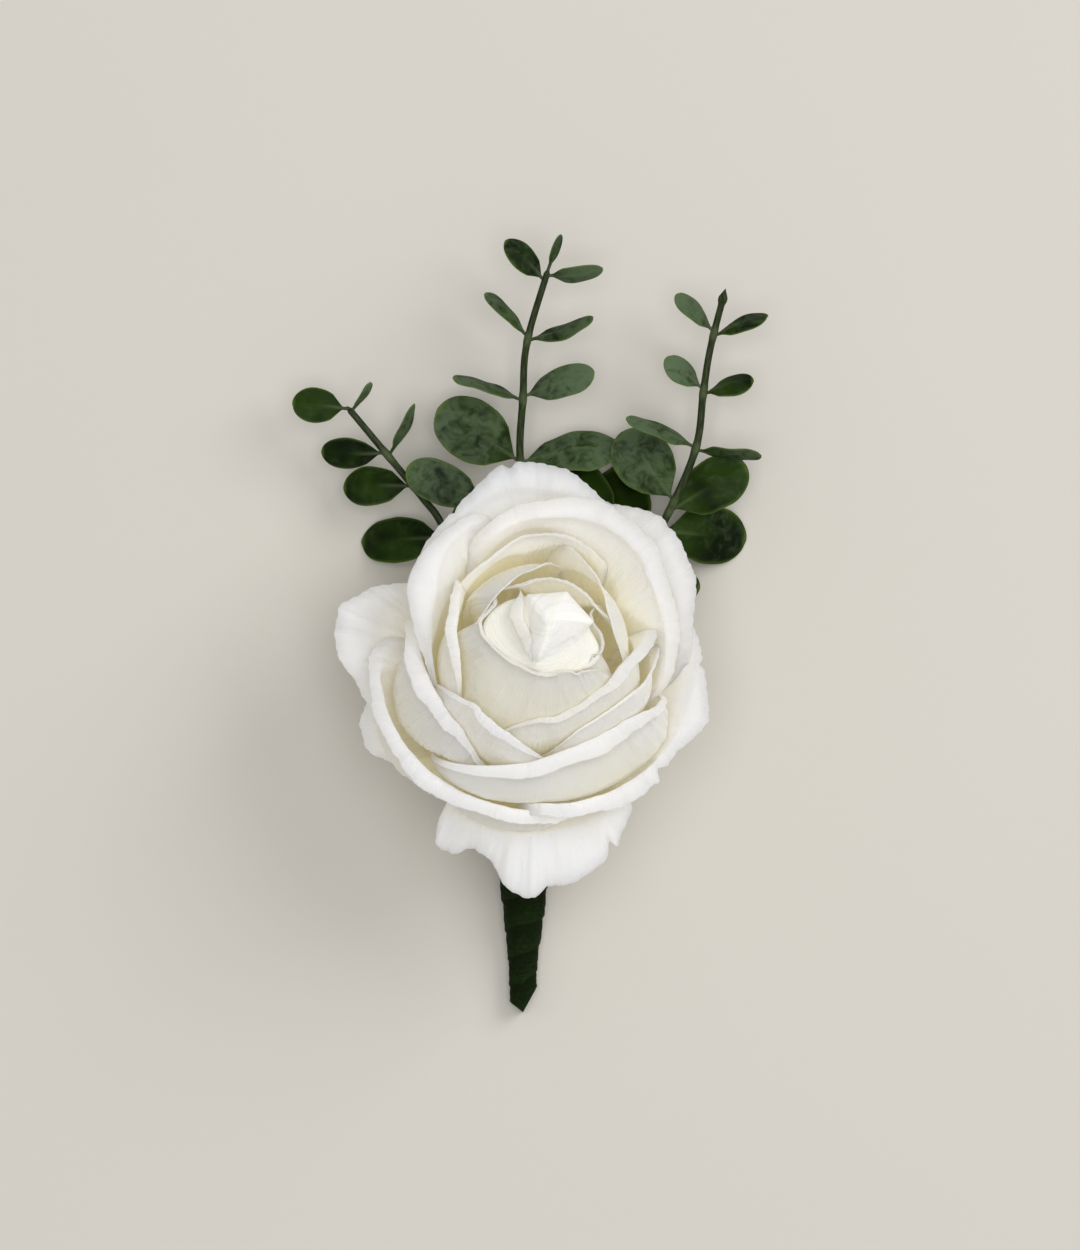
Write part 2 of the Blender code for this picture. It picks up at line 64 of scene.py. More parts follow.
# A layer of the bowl has, as its radius, its girth times WALL, read at heights from 0 to WALL_TOP.
WALL = (0.20, 0.47, 0.71, 0.88, 0.98, 0.99, 0.87, 0.60, 0.28)
WALL_TOP = 48.0
PETAL_FOOT = 0.4               # height at which every petal leaves the calyx
LIP_FLAT = 0.5                 # height of a rolled lip against a round one
LIP_EASE = 1.6                 # power by which a lip turns faster at first and then runs flat
PETAL_CELLS = (232, 22, 16)    # across, up to the crest, over the lip
COLUMN_CROWDING = 0.11         # how much closer its columns lie towards its two ends
ROW_CROWDING = 0.8             # power that sets its rows closer towards the crest
PETAL_LEAST = 1.4              # height to which the crest falls at a petal's ends
CORNER_LEAST = 0.0004          # keeps a rounded corner from closing to a point
LIP_LEAST = 0.25
CREST_FLUTTER = 0.35           # how far the crest waves
LIP_FLUTTER = 0.06             # share by which the lip's length waves
ROLL_FLUTTER = 7.0             # degrees by which the lip's roll waves
DENT = 0.06                    # how far the rim is dented in and out
PUCKER = 0.09                  # how far the rim is puckered up and down
RIM_REACH = 5.0                # how far dents and puckers reach down from the rim
FULL_LIP = 2.5                 # lip length from which it is dented and puckered in full
CREASE_START = 0.2             # share of the rows, from the foot, that a crease leaves alone
RIM_SHARE = 0.35               # thickness at a petal's very edge, against its middle
RIM_THINS = 3.0                # distance from the edge over which it thins
INMOST_SHARE = 0.25            # thickness on the head's axis, against that outside THICK_RADIUS
THICK_RADIUS = 9.0

# Low down, a petal comes close to its neighbours.
LAYER_GAP = 0.7                # girth that it keeps from them
LAYER_APART = 0.4              # girths closer to each other than this are one layer
LEAST_GIRTH = 6.0
GIRTH_BLUR = 10.0              # degrees over which the low girth is evened out
GIRTH_SAMPLES = 9
FAR_SIDE = (-0.45, 0.1)        # sines of the azimuth between which the far side begins
FAR_SIDE_TURN = 8.0            # degrees by which that side is turned towards +X
FLARE_SHARE = 0.9              # height over which a petal opens, for each mm of girth it opens by
FLARE_LEAST = 1.2

# Depth, from 0 on the lips to 1 deep inside, tints the petals cream (partly painted shade) and sets
# their painted glow.
DEPTH_START = 1.0              # distance from the edge at which it begins
DEPTH_LIP_SHARE = 0.8          # share of the lip by which it begins later on an outer petal
DEPTH_REACH = 12.0             # distance over which it grows on an outer petal
DEPTH_REACH_CUT = 3.0          # how much shorter that is near the heart
DEPTH_AT_HEART = 0.4           # what every point of a petal near the heart has at least
DEPTH_POWER = 0.8
NEAR_HEART = (14.0, 26.0)      # girths between which a petal goes from the heart's to an outer one

CALYX_SIDES = 160
CALYX_RINGS_DRAWN = 60
SEPALS = 5
SEPAL_LENGTH = 8.0
CALYX_RINGS = (                # radius, height, and the shares of the sepals' reach and drop
    (0.02, -6.95, 0.0, 0.0), (1.9, -6.9, 0.0, 0.0), (2.8, -6.3, 0.0, 0.0), (5.2, -4.2, 0.0, 0.0),
    (8.0, -1.8, 0.1, 0.0), (9.2, -1.2, 0.5, 0.05), (9.6, -1.4, 1.0, 0.22), (9.6, -0.9, 1.0, 0.22),
    (9.4, -0.5, 0.5, 0.05), (8.8, 0.0, 0.0, 0.0), (3.0, 0.0, 0.0, 0.0), (0.02, 0.0, 0.0, 0.0),
)

# A petal spans the azimuths start..end in degrees, anticlockwise from +X about the head's axis, and
# runs on by `reach` at each end, where it rounds off and tucks behind its neighbours. Its girth, the
# height of its crest and the length of its lip are given at evenly spaced azimuths from start to
# end. The lip rolls outwards until it leans by the roll angle. `round` is the power of the rounding.
Petal = namedtuple("Petal", "name start end reach girth height lip roll round")
PETALS = (
    Petal("core_right", 0, 150, 8, (16.3, 16.2, 15.4, 15.6, 16.2), (40.5, 42, 42, 42, 40.5),
          (0.8, 1.0, 1.2, 1.2, 0.8), 50, 8),
    Petal("core_left", 112, 262, 6, (12.0, 9.9, 8.0, 8.6, 12.0), (41.6, 42.4, 42.6, 42.4, 41.6),
          (1.0, 3.0, 4.0, 3.2, 1.0), 104, 10),
    Petal("bud_top", 78, 192, 12, (16.0, 18.4, 17.6, 16.8, 17.0), (37, 41, 41, 39.5, 36),
          (0.8, 1.0, 1.0, 1.0, 0.8), 30, 8),
    Petal("bud_left", 130, 335, 5, (14.8, 16.4, 18.0, 15.0, 13.8, 13.8, 14.0, 15.7, 18.6),
          (39.6, 40.4, 40.2, 40.6, 40.8, 40.6, 40.6, 40.4, 39.6),
          (1.0, 1.2, 1.3, 1.4, 1.5, 1.5, 1.4, 1.2, 0.8), 75, 14),
    Petal("bud_right", 290, 392, 7, (12.8, 14.6, 16.4, 14.0, 13.6), (38.5, 39.8, 40.8, 41.2, 40.4),
          (0.8, 1.0, 1.1, 1.1, 0.8), 50, 9),
    Petal("inner_right", -26, 75, 12, (18.4, 17.2, 17.4, 18.8, 20.6), (35, 38.5, 39, 38, 35),
          (0.8, 1.0, 1.0, 1.0, 0.8), 40, 8),
    Petal("inner_top", 55, 140, 12, (21.0, 22.8, 23.2, 20.6, 19.6), (33, 35.5, 36, 35, 33),
          (0.8, 1.2, 1.4, 1.2, 0.8), 40, 8),
    Petal("inner_left", 144, 213, 12, (19.8, 19.6, 19.4, 19.4, 19.6), (33, 35.5, 36, 35, 33),
          (1.6, 3.0, 4.0, 3.2, 1.6), 85, 7),
    Petal("inner_low_right", -122, 8, 10, (20.7, 18.8, 18.4, 20.4, 20.6),
          (34, 35.5, 37, 37.5, 36), (1.4, 2.4, 3.2, 4.8, 3.0), 80, 7),
    Petal("inner_low_left", 205, 268, 12, (21.4, 22.1, 22.9, 23.4, 23.0),
          (32, 34.5, 35, 34.5, 32), (1.6, 2.6, 4.0, 3.6, 1.6), 85, 7),
    Petal("middle_thin", -88, 0, 10, (21.3, 20.2, 20.6, 22.3, 22.8), (31, 33, 33.5, 33, 31),
          (0.8, 1.2, 1.4, 1.2, 0.8), 60, 8),
    Petal("middle_top", -20, 128, 8, (24.4, 25.0, 27.6, 26.0, 22.2), (31, 33, 33.5, 33, 31),
          (1.8, 4.4, 5.6, 4.6, 1.8), 88, 7),
    Petal("outer_left", 108, 202, 10, (28.2, 26.8, 23.0, 21.9, 21.6), (28, 30, 31, 31, 29),
          (1.6, 3.4, 7.4, 3.4, 1.6), 90, 7),
    Petal("middle_left", 165, 244, 9, (24.3, 23.6, 23.4, 24.6, 25.8), (27, 28.2, 30, 31, 29),
          (2.8, 5.4, 6.2, 4.4, 2.0), 88, 7),
    Petal("middle_low", 225, 340, 9, (30.1, 26.4, 22.8, 22.6, 26.2), (28, 31, 31, 31, 28),
          (1.8, 4.8, 5.4, 5.2, 2.0), 92, 7),
    Petal("outer_top", 48, 150, 8, (29.4, 31.4, 32.4, 30.6, 28.6), (24, 27.5, 28, 27, 24),
          (0.8, 2.4, 4.0, 6.2, 5.6, 2.9, 1.4, 1.2, 1.2), 86, 7),
    Petal("outer_right", -10, 72, 8, (29.2, 28.8, 29.4, 31.8, 34.0), (21, 25, 26.5, 24.5, 20),
          (2.0, 2.8, 6.4, 5.6, 2.4), 88, 7),
    Petal("outer_low_left", 168, 285, 5, (31.6, 32.6, 33.1, 32.6, 32.8),
          (20, 23.5, 24.5, 24, 22), (2.0, 3.6, 5.2, 4.2, 3.2), 88, 10),
    Petal("outer_low_right", -96, 22, 4, (31.2, 31.6, 31.8, 31.6, 31.6), (24.5, 24, 24, 23.5, 20),
          (4.0, 4.2, 5.0, 4.8, 2.4, 5.0, 2.0, 1.6, 1.6), 88, 24),
    Petal("guard_left", 138, 206, 3, (37.0, 37.4, 38.0, 37.8, 37.4), (12, 16, 17.5, 16, 11),
          (1.8, 5.2, 7.2, 5.2, 2.6), 62, 8),
    Petal("guard_low_left", 184, 226, 3, (41.5, 42.5, 42.5, 42.0, 41.5), (9.5, 12.5, 13, 12.5, 9.5),
          (1.6, 4.0, 4.8, 3.4, 1.6), 88, 8),
    Petal("guard_low", 237, 305, 1, (40.0, 41.0, 41.4, 41.0, 40.0), (14, 15, 16, 15, 13.5),
          (6.6, 10.6, 10.0, 7.6, 7.4, 9.2, 11.8, 14.0, 13.2, 11.8, 10.6, 9.6, 8.6, 8.4, 6.4, 4.6,
           3.0), 122, 40),
    Petal("guard_back", 12, 118, 4, (38.0, 40.0, 40.0, 40.0, 38.0), (11, 14, 15, 14, 11),
          (2.0, 4.2, 5.6, 4.2, 2.0), 95, 8),
)

# Small features of a petal's lip: at an azimuth, over a width in degrees, the lip is shortened by
# the depth of a notch, or raised along its length by the height of a crease.
Feature = namedtuple("Feature", "petal azimuth size width")
NOTCHES = (
    Feature("guard_low", 290.6, 2.4, 1.1),
    Feature("guard_low", 271.5, 0.7, 0.7),
    Feature("outer_top", 98.0, 1.4, 1.6),
    Feature("outer_top", 120.0, 0.6, 1.2),
    Feature("outer_low_right", -46.5, 1.6, 1.5),
    Feature("outer_low_right", -50.0, -1.5, 1.2),
    Feature("outer_low_right", -4.0, 0.8, 1.6),
    Feature("outer_low_left", 218.0, 0.8, 1.3),
    Feature("guard_left", 165.0, -2.3, 3.4),
    Feature("middle_low", 262.0, 0.5, 1.0),
    Feature("outer_right", 44.0, 0.6, 1.4),
)
CREASES = (
    Feature("guard_low", 267.6, 0.7, 1.0),
    Feature("guard_low", 291.5, 1.6, 3.2),
    Feature("guard_left", 167.0, 2.1, 3.0),
    Feature("outer_low_left", 279.0, 1.2, 3.0),
    Feature("outer_low_right", -90.0, 1.3, 3.0),
    Feature("outer_left", 150.0, -0.5, 4.0),
    Feature("outer_top", 88.0, -0.6, 3.0),
    Feature("middle_top", 62.0, 0.5, 3.0),
    Feature("outer_low_right", -20.0, -0.8, 4.0),
)

# The heart: a closed bud of wrapped petals. Its outline is a polygon, whose corners are given by
# azimuth and radius. The ring that it fills below is given by its radii at evenly spaced azimuths
# from +X. The profile gives the share of the radius, how far it has gone from the outline to the
# ring, and the height.
HEART_CORNERS = ((5, 8.7), (61, 7.7), (122, 7.2), (166, 3.9), (233, 6.0), (252, 7.4), (289, 4.6),
                 (336, 6.0))
HEART_RING = (8.4, 7.9, 7.4, 6.9, 7.6, 10.0, 12.2, 10.6, 8.9, 9.3, 9.8, 11.4)
HEART_PROFILE = ((0.45, 1.0, 0.4), (0.75, 1.0, 15.0), (0.95, 1.0, 30.0), (1.0, 1.0, 37.5),
                 (1.0, 1.0, 40.0), (1.0, 0.6, 41.1), (1.0, 0.18, 41.7), (1.02, 0.0, 42.7),
                 (0.87, 0.0, 44.0), (0.6, 0.0, 45.2), (0.3, 0.0, 45.9), (0.02, 0.0, 46.1))
HEART_CELLS = (150, 180)
HEART_FOLDS = ((5, 0.4, 16), (124, 0.5, 12), (251, 0.5, 12))  # azimuth, height, width in degrees
HEART_SWIRL = 50.0             # degrees by which a fold turns from the rim to the tip
HEART_HOLLOW = 0.5             # how far the sides between the folds are sunk
HEART_CROWN = (41.5, 43.5)     # heights between which folds and hollows set in
HEART_DEPTH = (0.15, 0.55)     # depth on the crown and below it
HEART_DEPTH_TOP = 42.5         # height below which it grows from the one to the other
HEART_DEPTH_FALL = 3.0         # height over which it does

# Stems, each a smooth path of x, y and z from its cut end inside the tape to its tip.
ROSE_STEM_PATH = ((-1.4, -64.0, 3.3), (-1.3, -50.0, 5.4), (-1.3, -36.0, 6.0), (-1.35, -26.0, 5.1),
                  (-1.4, -20.0, 4.5), (-1.52, -16.6, 5.4), (-1.72, -14.85, 7.9),
                  (-1.79, -14.6, 8.55))
ROSE_STEM_RADIUS = 1.5
ROSE_STEM_UNEVEN = 0.03        # share by which its radius waves
ROSE_STEM_CELLS = (120, 28)
SPRIG_PATHS = {
    "left": ((-3.5, -53.0, 3.4), (-3.9, -38.0, 3.8), (-4.3, -27.0, 4.0), (-6.6, -14.0, 5.0),
             (-10.8, 2.0, 6.6), (-17.1, 19.0, 9.0), (-21.5, 25.4, 9.8), (-28.4, 33.8, 11.0),
             (-36.2, 43.2, 13.0)),
    "centre": ((-1.2, -51.0, 2.2), (-1.2, -38.0, 2.4), (-0.9, -27.0, 2.1), (1.7, -14.0, 2.6),
               (0.8, 8.0, 5.5), (-2.0, 31.3, 9.5), (-1.5, 44.9, 12.0), (-0.7, 55.7, 14.5),
               (3.6, 70.4, 18.1)),
    "right": ((0.9, -53.0, 3.4), (1.3, -38.0, 3.8), (1.7, -27.0, 4.0), (6.6, -14.0, 4.8),
              (15.5, 1.0, 6.8), (26.8, 21.5, 9.6), (32.5, 34.8, 11.5), (34.0, 45.9, 13.0),
              (35.4, 54.7, 14.5), (38.3, 66.2, 16.6)),
}
SPRIG_RADIUS = 0.85            # where a sprig leaves the tape
SPRIG_TIP_RADIUS = 0.65
SPRIG_TAPER_POWER = 1.5
SPRIG_CELLS = (420, 24)
BUD_START = 0.965              # where the closed bud at the tip starts along the path
BUD_RADII = (0.66, 0.7, 0.9, 0.92, 0.66, 0.34, 0.03)
BUD_LARGEST = {"left": 0.66, "centre": 0.66, "right": 0.92}  # only the right one swells
BUD_CELLS = 40
JOINT_SWELL = 0.12             # how far a stem swells where a leaf leaves it
JOINT_LENGTH = 0.9

# A leaf leaves its sprig at a point given by y, with a heading in plan (degrees from +X), a pitch
# upwards and a roll about its midrib. Its stalk is the thin first part of its length, and its arch
# the height that it bows up by. Bloom is how much of it is clouded grey-green, from 0 to 1.
Leaf = namedtuple("Leaf", "name sprig y heading pitch roll length width stalk arch bloom")
LEAVES = (
    Leaf("left_1", "left", 42.6, 174, 4, 8, 9.6, 7.0, 1.0, 0.5, 0.15),
    Leaf("left_2", "left", 42.0, 56, 25, 70, 6.4, 3.6, 1.0, 0.4, 0.8),
    Leaf("left_3", "left", 34.0, 179, -6, -20, 11.2, 6.4, 1.2, 0.8, 0.1),
    Leaf("left_4", "left", 33.2, 64, 15, 72, 10.6, 5.2, 1.2, 0.6, 0.7),
    Leaf("left_5", "left", 27.6, 181, -10, 12, 12.4, 8.0, 1.2, 0.9, 0.1),
    Leaf("left_6", "left", 17.2, 183, -26.1, 10, 17.8, 9.2, 1.5, 1.0, 0.1),
    Leaf("left_7", "left", 15.0, 64, -12, 10, 10.0, 7.0, 1.5, 0.6, 0.1),
    Leaf("centre_1", "centre", 67.6, 135, 10, 30, 9.8, 5.6, 1.0, 0.6, 0.3),
    Leaf("centre_2", "centre", 68.6, 7, 4, 52, 10.0, 5.0, 1.0, 0.8, 0.8),
    Leaf("centre_3", "centre", 69.7, 70, 20, 50, 6.0, 2.4, 0.8, 0.2, 0.5),
    Leaf("centre_4", "centre", 56.8, 135, 12, 62, 10.8, 5.4, 1.2, 0.7, 0.6),
    Leaf("centre_5", "centre", 56.0, 20, 5, -58, 12.4, 5.6, 1.2, -0.6, 0.6),
    Leaf("centre_6", "centre", 44.4, 162, 10, 68, 13.4, 6.0, 1.4, 0.6, 0.7),
    Leaf("centre_7", "centre", 45.0, 19, 6, -25, 13.6, 6.8, 1.4, 0.6, 0.8),
    Leaf("centre_8", "centre", 32.4, 147, 4, 8, 17.8, 12.4, 1.6, 0.8, 0.6),
    Leaf("centre_9", "centre", 32.2, 9, -8, -35, 19.2, 9.6, 1.6, 1.0, 0.7),
    Leaf("centre_10", "centre", 20.6, 156, 13, 6, 25.0, 8.6, 9.0, 1.0, 0.6),
    Leaf("right_1", "right", 57.8, 136, 8, 50, 9.2, 5.6, 1.0, 0.5, 0.8),
    Leaf("right_2", "right", 57.0, 20, 12, -55, 10.2, 5.0, 1.0, 0.4, 0.3),
    Leaf("right_3", "right", 46.5, 143, 10, 42, 8.4, 6.2, 1.2, 0.5, 0.9),
    Leaf("right_4", "right", 45.6, 14, 14, -52, 9.2, 6.4, 1.2, 0.5, 0.15),
    Leaf("right_5", "right", 35.2, 158, 12, 58, 14.0, 5.6, 1.2, 0.6, 0.8),
    Leaf("right_6", "right", 34.6, 355, 15, 68, 12.2, 6.0, 1.2, 0.5, 0.6),
    Leaf("right_7", "right", 24.4, 127, -6, 10, 15.8, 11.8, 1.6, 0.8, 0.7),
    Leaf("right_8", "right", 22.4, 31, 5, -8, 16.0, 10.4, 1.6, 0.8, 0.2),
    Leaf("right_9", "right", 18.6, 355, -27.2, 6, 18.2, 11.6, 1.8, 1.0, 0.2),
    Leaf("right_10", "right", 9.0, 352, -12, 10, 12.4, 7.6, 2.0, 0.6, 0.3),
    Leaf("back_1", "right", 14.6, 144, -14, 8, 27.0, 15.0, 7.0, 0.6, 0.0),
    Leaf("back_2", "right", 11.6, 106, -20.5, -8, 20.0, 12.0, 3.0, 0.6, 0.0),
)
LEAF_CELLS = (10, 44, 28)      # along the stalk, along the blade, across
LEAF_FOLD = 0.12               # slope of each half of a blade, down from the midrib
FOLD_ROUND = 0.4               # distance from the midrib over which that slope is rounded
LEAF_SKEW = 1.25               # power that moves a blade's widest place past its middle
LEAF_WEDGE = 0.16              # share of a blade that narrows to a wedge at its base
LEAF_WEDGE_POWER = 0.35
LEAF_NARROWEST = 0.03          # half width of a leaf's very tip
LEAF_UNEVEN = 0.012            # share by which its half width waves
LEAF_WAVE = 0.03               # height of the waves on its rim, as a share of its width
# The pale rim is a painted highlight along the thin margin.
LEAF_RIM = 0.82                # share of the half width at which the pale rim begins
LEAF_TIP = 0.93                # share of the blade at which the pale tip begins
RIB_WIDTH = 0.32
RIB_FADE = 0.8                 # share by which the midrib has thinned away at the tip
RIB_RISE = 0.9                 # how much thicker the blade is on its midrib, as a share
RIM_FALL = 0.45                # how much thinner it is on its rim, as a share
RIB_PALE = (0.15, 0.6)         # shares of the blade between which the pale midrib fades
STALK_WIDTH = 0.65
STALK_CLEAR = 0.4              # how far outside its stem a leaf's length is counted from
STALK_LONG = 2.5               # length from which a stalk shows, and isn't taken up by the blade
STALK_BLEND = 0.2              # share of the blade over which the stalk turns into it
STEEPEST = 0.75                # least sine of its angle to the stem, for how far it is moved out

# The taped stem.
TAPE_TOP = (-1.3, -29.0)       # x and y of its open upper end
TAPE_END = (-1.5, -76.5)       # x and y of the cut tip
TAPE_RADII = (4.9, 4.95, 4.95, 4.0, 2.9, 2.6)
TAPE_WALL = 0.7
TAPE_SLANT = (4.6, 2.1)        # how far the cut end is drawn back on its right and left side
TAPE_SLANT_POWER = 8
TAPE_CELLS = (300, 120)        # along the outside, around
TAPE_INSIDE = (0.3, 20)        # share of the length that the inside goes down, and its rings
TAPE_LAP_END = 0.88            # share of a lap at which its edge falls
TAPE_CRINKLE = 0.07
TAPE_BUMP = 0.06
TAPE_CUT = (0.75, 0.45, 0.18, 0.01)  # shares of the last radius that close the cut end

# The stage, in metres.
GROUND_CELLS = 40
GROUND_DROP = 0.0001           # how far the ground is below the boutonniere
LIGHT_AIM = (0.0, 0.0, 0.02)
KEY_PLACE = (0.9, 0.56, 1.03)
KEY_SIZE = 0.9
KEY_COLOUR = (1.0, 0.985, 0.96)
OVERHEAD_PLACE = (0.0, 0.0, 1.6)
OVERHEAD_SIZE = 0.8
OVERHEAD_COLOUR = (1.0, 0.99, 0.98)
CAMERA_PLACE = (0.00185, 0.0001)
SENSOR = 36.0                  # height of the camera's sensor in millimetres
CAMERA_REACH = (0.1, 20.0)     # nearest and furthest distance that it sees


def through(values, places):
    """A Catmull-Rom curve through evenly spaced values, read at places from 0 to 1."""
    values = np.asarray(values, float)
    last = len(values) - 1
    at = np.clip(np.asarray(places, float), 0.0, 1.0) * last
    left = np.minimum(at.astype(int), last - 1)
    part = at - left
    if values.ndim > 1:
        part = part[:, None]
    padded = np.concatenate([[2 * values[0] - values[1]], values, [2 * values[-1] - values[-2]]])
    before, start, end, after = (padded[left + number] for number in range(4))
    return 0.5 * (2 * start + (end - before) * part
                  + (2 * before - 5 * start + 4 * end - after) * part ** 2
                  + (3 * start - before - 3 * end + after) * part ** 3)


def around(values, turns):
    """The same curve through values that close in a ring, read at turns where 1 is all the way."""
    values = np.asarray(values, float)
    at = np.mod(np.asarray(turns, float), 1.0) * len(values)
    left = at.astype(int) % len(values)
    part = at - np.floor(at)
    numbers = (-1, 0, 1, 2)
    before, start, end, after = (values[(left + number) % len(values)] for number in numbers)
    return 0.5 * (2 * start + (end - before) * part
                  + (2 * before - 5 * start + 4 * end - after) * part ** 2
                  + (3 * start - before - 3 * end + after) * part ** 3)


def waves(seed, places, lengths):
    """A sum of sines along places, one for each wavelength, with phases from the seed.

    Each sine's height is its wavelength's share of the longest, so that the sum stays near 1.
    """
    chance = np.random.default_rng(seed)
    longest = max(lengths)
    total = 0.0
    for length in lengths:
        total = total + length / longest * np.sin(2 * np.pi * (places / length + chance.random()))
    return total


def step(low, high, values):
    """0 below low, 1 above high, and a smooth ramp between."""
    part = np.clip((np.asarray(values, float) - low) / (high - low), 0.0, 1.0)
    return part * part * (3 - 2 * part)


def seed_of(name):
    """A whole number that is always the same for a name."""
    return sum((place + 1) * ord(letter) for place, letter in enumerate(name))


def turned(points, roll, pitch, heading):
    """Points rolled about x, pitched up from it and then turned about z, all in degrees."""
    roll, pitch, heading = radians(roll), radians(pitch), radians(heading)
    x, y, z = points[..., 0], points[..., 1], points[..., 2]
    y, z = y * np.cos(roll) - z * np.sin(roll), y * np.sin(roll) + z * np.cos(roll)
    x, z = x * np.cos(pitch) - z * np.sin(pitch), x * np.sin(pitch) + z * np.cos(pitch)
    x, y = x * np.cos(heading) - y * np.sin(heading), x * np.sin(heading) + y * np.cos(heading)
    return np.stack([x, y, z], axis=-1)


def from_head(points):
    """Points of the flower head, turned from its own frame into the boutonniere's."""
    return turned(points, -HEAD_LEAN_BACK, -HEAD_LEAN_RIGHT, 0.0) + np.array(HEAD_BASE)


def grid_faces(rows, columns, start=0, closed=False):
    """Quads of a grid of vertices numbered row by row from start, closed around if asked."""
    numbers = start + np.arange(rows * columns).reshape(rows, columns)
    if closed:
        numbers = np.concatenate([numbers, numbers[:, :1]], axis=1)
    corners = numbers[:-1, :-1], numbers[1:, :-1], numbers[1:, 1:], numbers[:-1, 1:]
    return np.stack(corners, axis=-1).reshape(-1, 4)


def tube_mesh(points):
    """Vertices and faces of a closed tube from rings of points, with a flat cap on each end."""
    rings, sides = points.shape[:2]
    faces = grid_faces(rings, sides, closed=True).tolist()
    faces.append(list(range(sides)))
    faces.append(list(range(rings * sides - 1, (rings - 1) * sides - 1, -1)))
    return points.reshape(-1, 3), faces


def sheet_mesh(middle, thickness):
    """Vertices and faces of a closed sheet: a grid of points moved half its thickness each way.

    The way is the surface's normal, which is the cross product of its slopes along the two
    parameters. A strip of quads around the rim closes it.
    """
    rows, columns = middle.shape[:2]
    normal = np.cross(np.gradient(middle, axis=0), np.gradient(middle, axis=1))
    normal /= np.maximum(np.linalg.norm(normal, axis=2, keepdims=True), 1e-9)
    offset = normal * (thickness / 2)[..., None]
    both = np.concatenate([middle + offset, (middle - offset)[:, ::-1]], axis=1)
    faces = grid_faces(rows, 2 * columns, closed=True)
    front = np.arange(columns - 1)
    back = 2 * columns - 1 - front
    first = np.stack([front, front + 1, back - 1, back], axis=1)
    last = first[:, ::-1] + (rows - 1) * 2 * columns
    return both.reshape(-1, 3), np.concatenate([faces, first, last]).tolist()


def both_sides(values):
    """Values of a grid for the vertices of sheet_mesh: the front's, then the back's in reverse."""
    return np.concatenate([values, values[:, ::-1]], axis=1).reshape(-1)


def way_round(vertices, faces):
    """The faces, turned over if the volume that they enclose comes out negative."""
    quads = np.array([face for face in faces if len(face) == 4])
    a, b, c, d = (vertices[quads[:, corner]] for corner in range(4))
    volume = np.sum(np.cross(a, b) * c) + np.sum(np.cross(a, c) * d)
    return faces if volume > 0 else [face[::-1] for face in faces]


def add_piece(name, nodes, vertices, faces, material, attributes=None):
    """Adds one smooth object at the origin, made of vertices in millimetres, to the body.

    It stands for the named CAD nodes. Each attribute is one number for each vertex.
    """
    mesh = bpy.data.meshes.new(name)
    mesh.from_pydata((vertices * MM).tolist(), [], way_round(vertices, faces))
    for attribute, values in (attributes or {}).items():
        made = mesh.attributes.new(attribute, "FLOAT", "POINT")
        made.data.foreach_set("value", np.asarray(values, np.float32).reshape(-1))
    mesh.materials.append(material)
    mesh.shade_smooth()
    if mesh.validate():
        raise RuntimeError(f"the mesh of {name} had faults")
    piece = bpy.data.objects.new(name, mesh)
    bpy.context.scene.collection.objects.link(piece)
    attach(piece, "root")
    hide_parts(*nodes)


class Value:
    """A shader socket that takes part in sums: each operator adds its own Math node."""

    def __init__(self, shader, socket):
        self.shader = shader
        self.socket = socket

    def __add__(self, other):
        return self.shader.math("ADD", self, other)

    def __radd__(self, other):
        return self.shader.math("ADD", other, self)

    def __sub__(self, other):
        return self.shader.math("SUBTRACT", self, other)

    def __rsub__(self, other):
        return self.shader.math("SUBTRACT", other, self)

    def __mul__(self, other):
        return self.shader.math("MULTIPLY", self, other)

    def __rmul__(self, other):
        return self.shader.math("MULTIPLY", other, self)


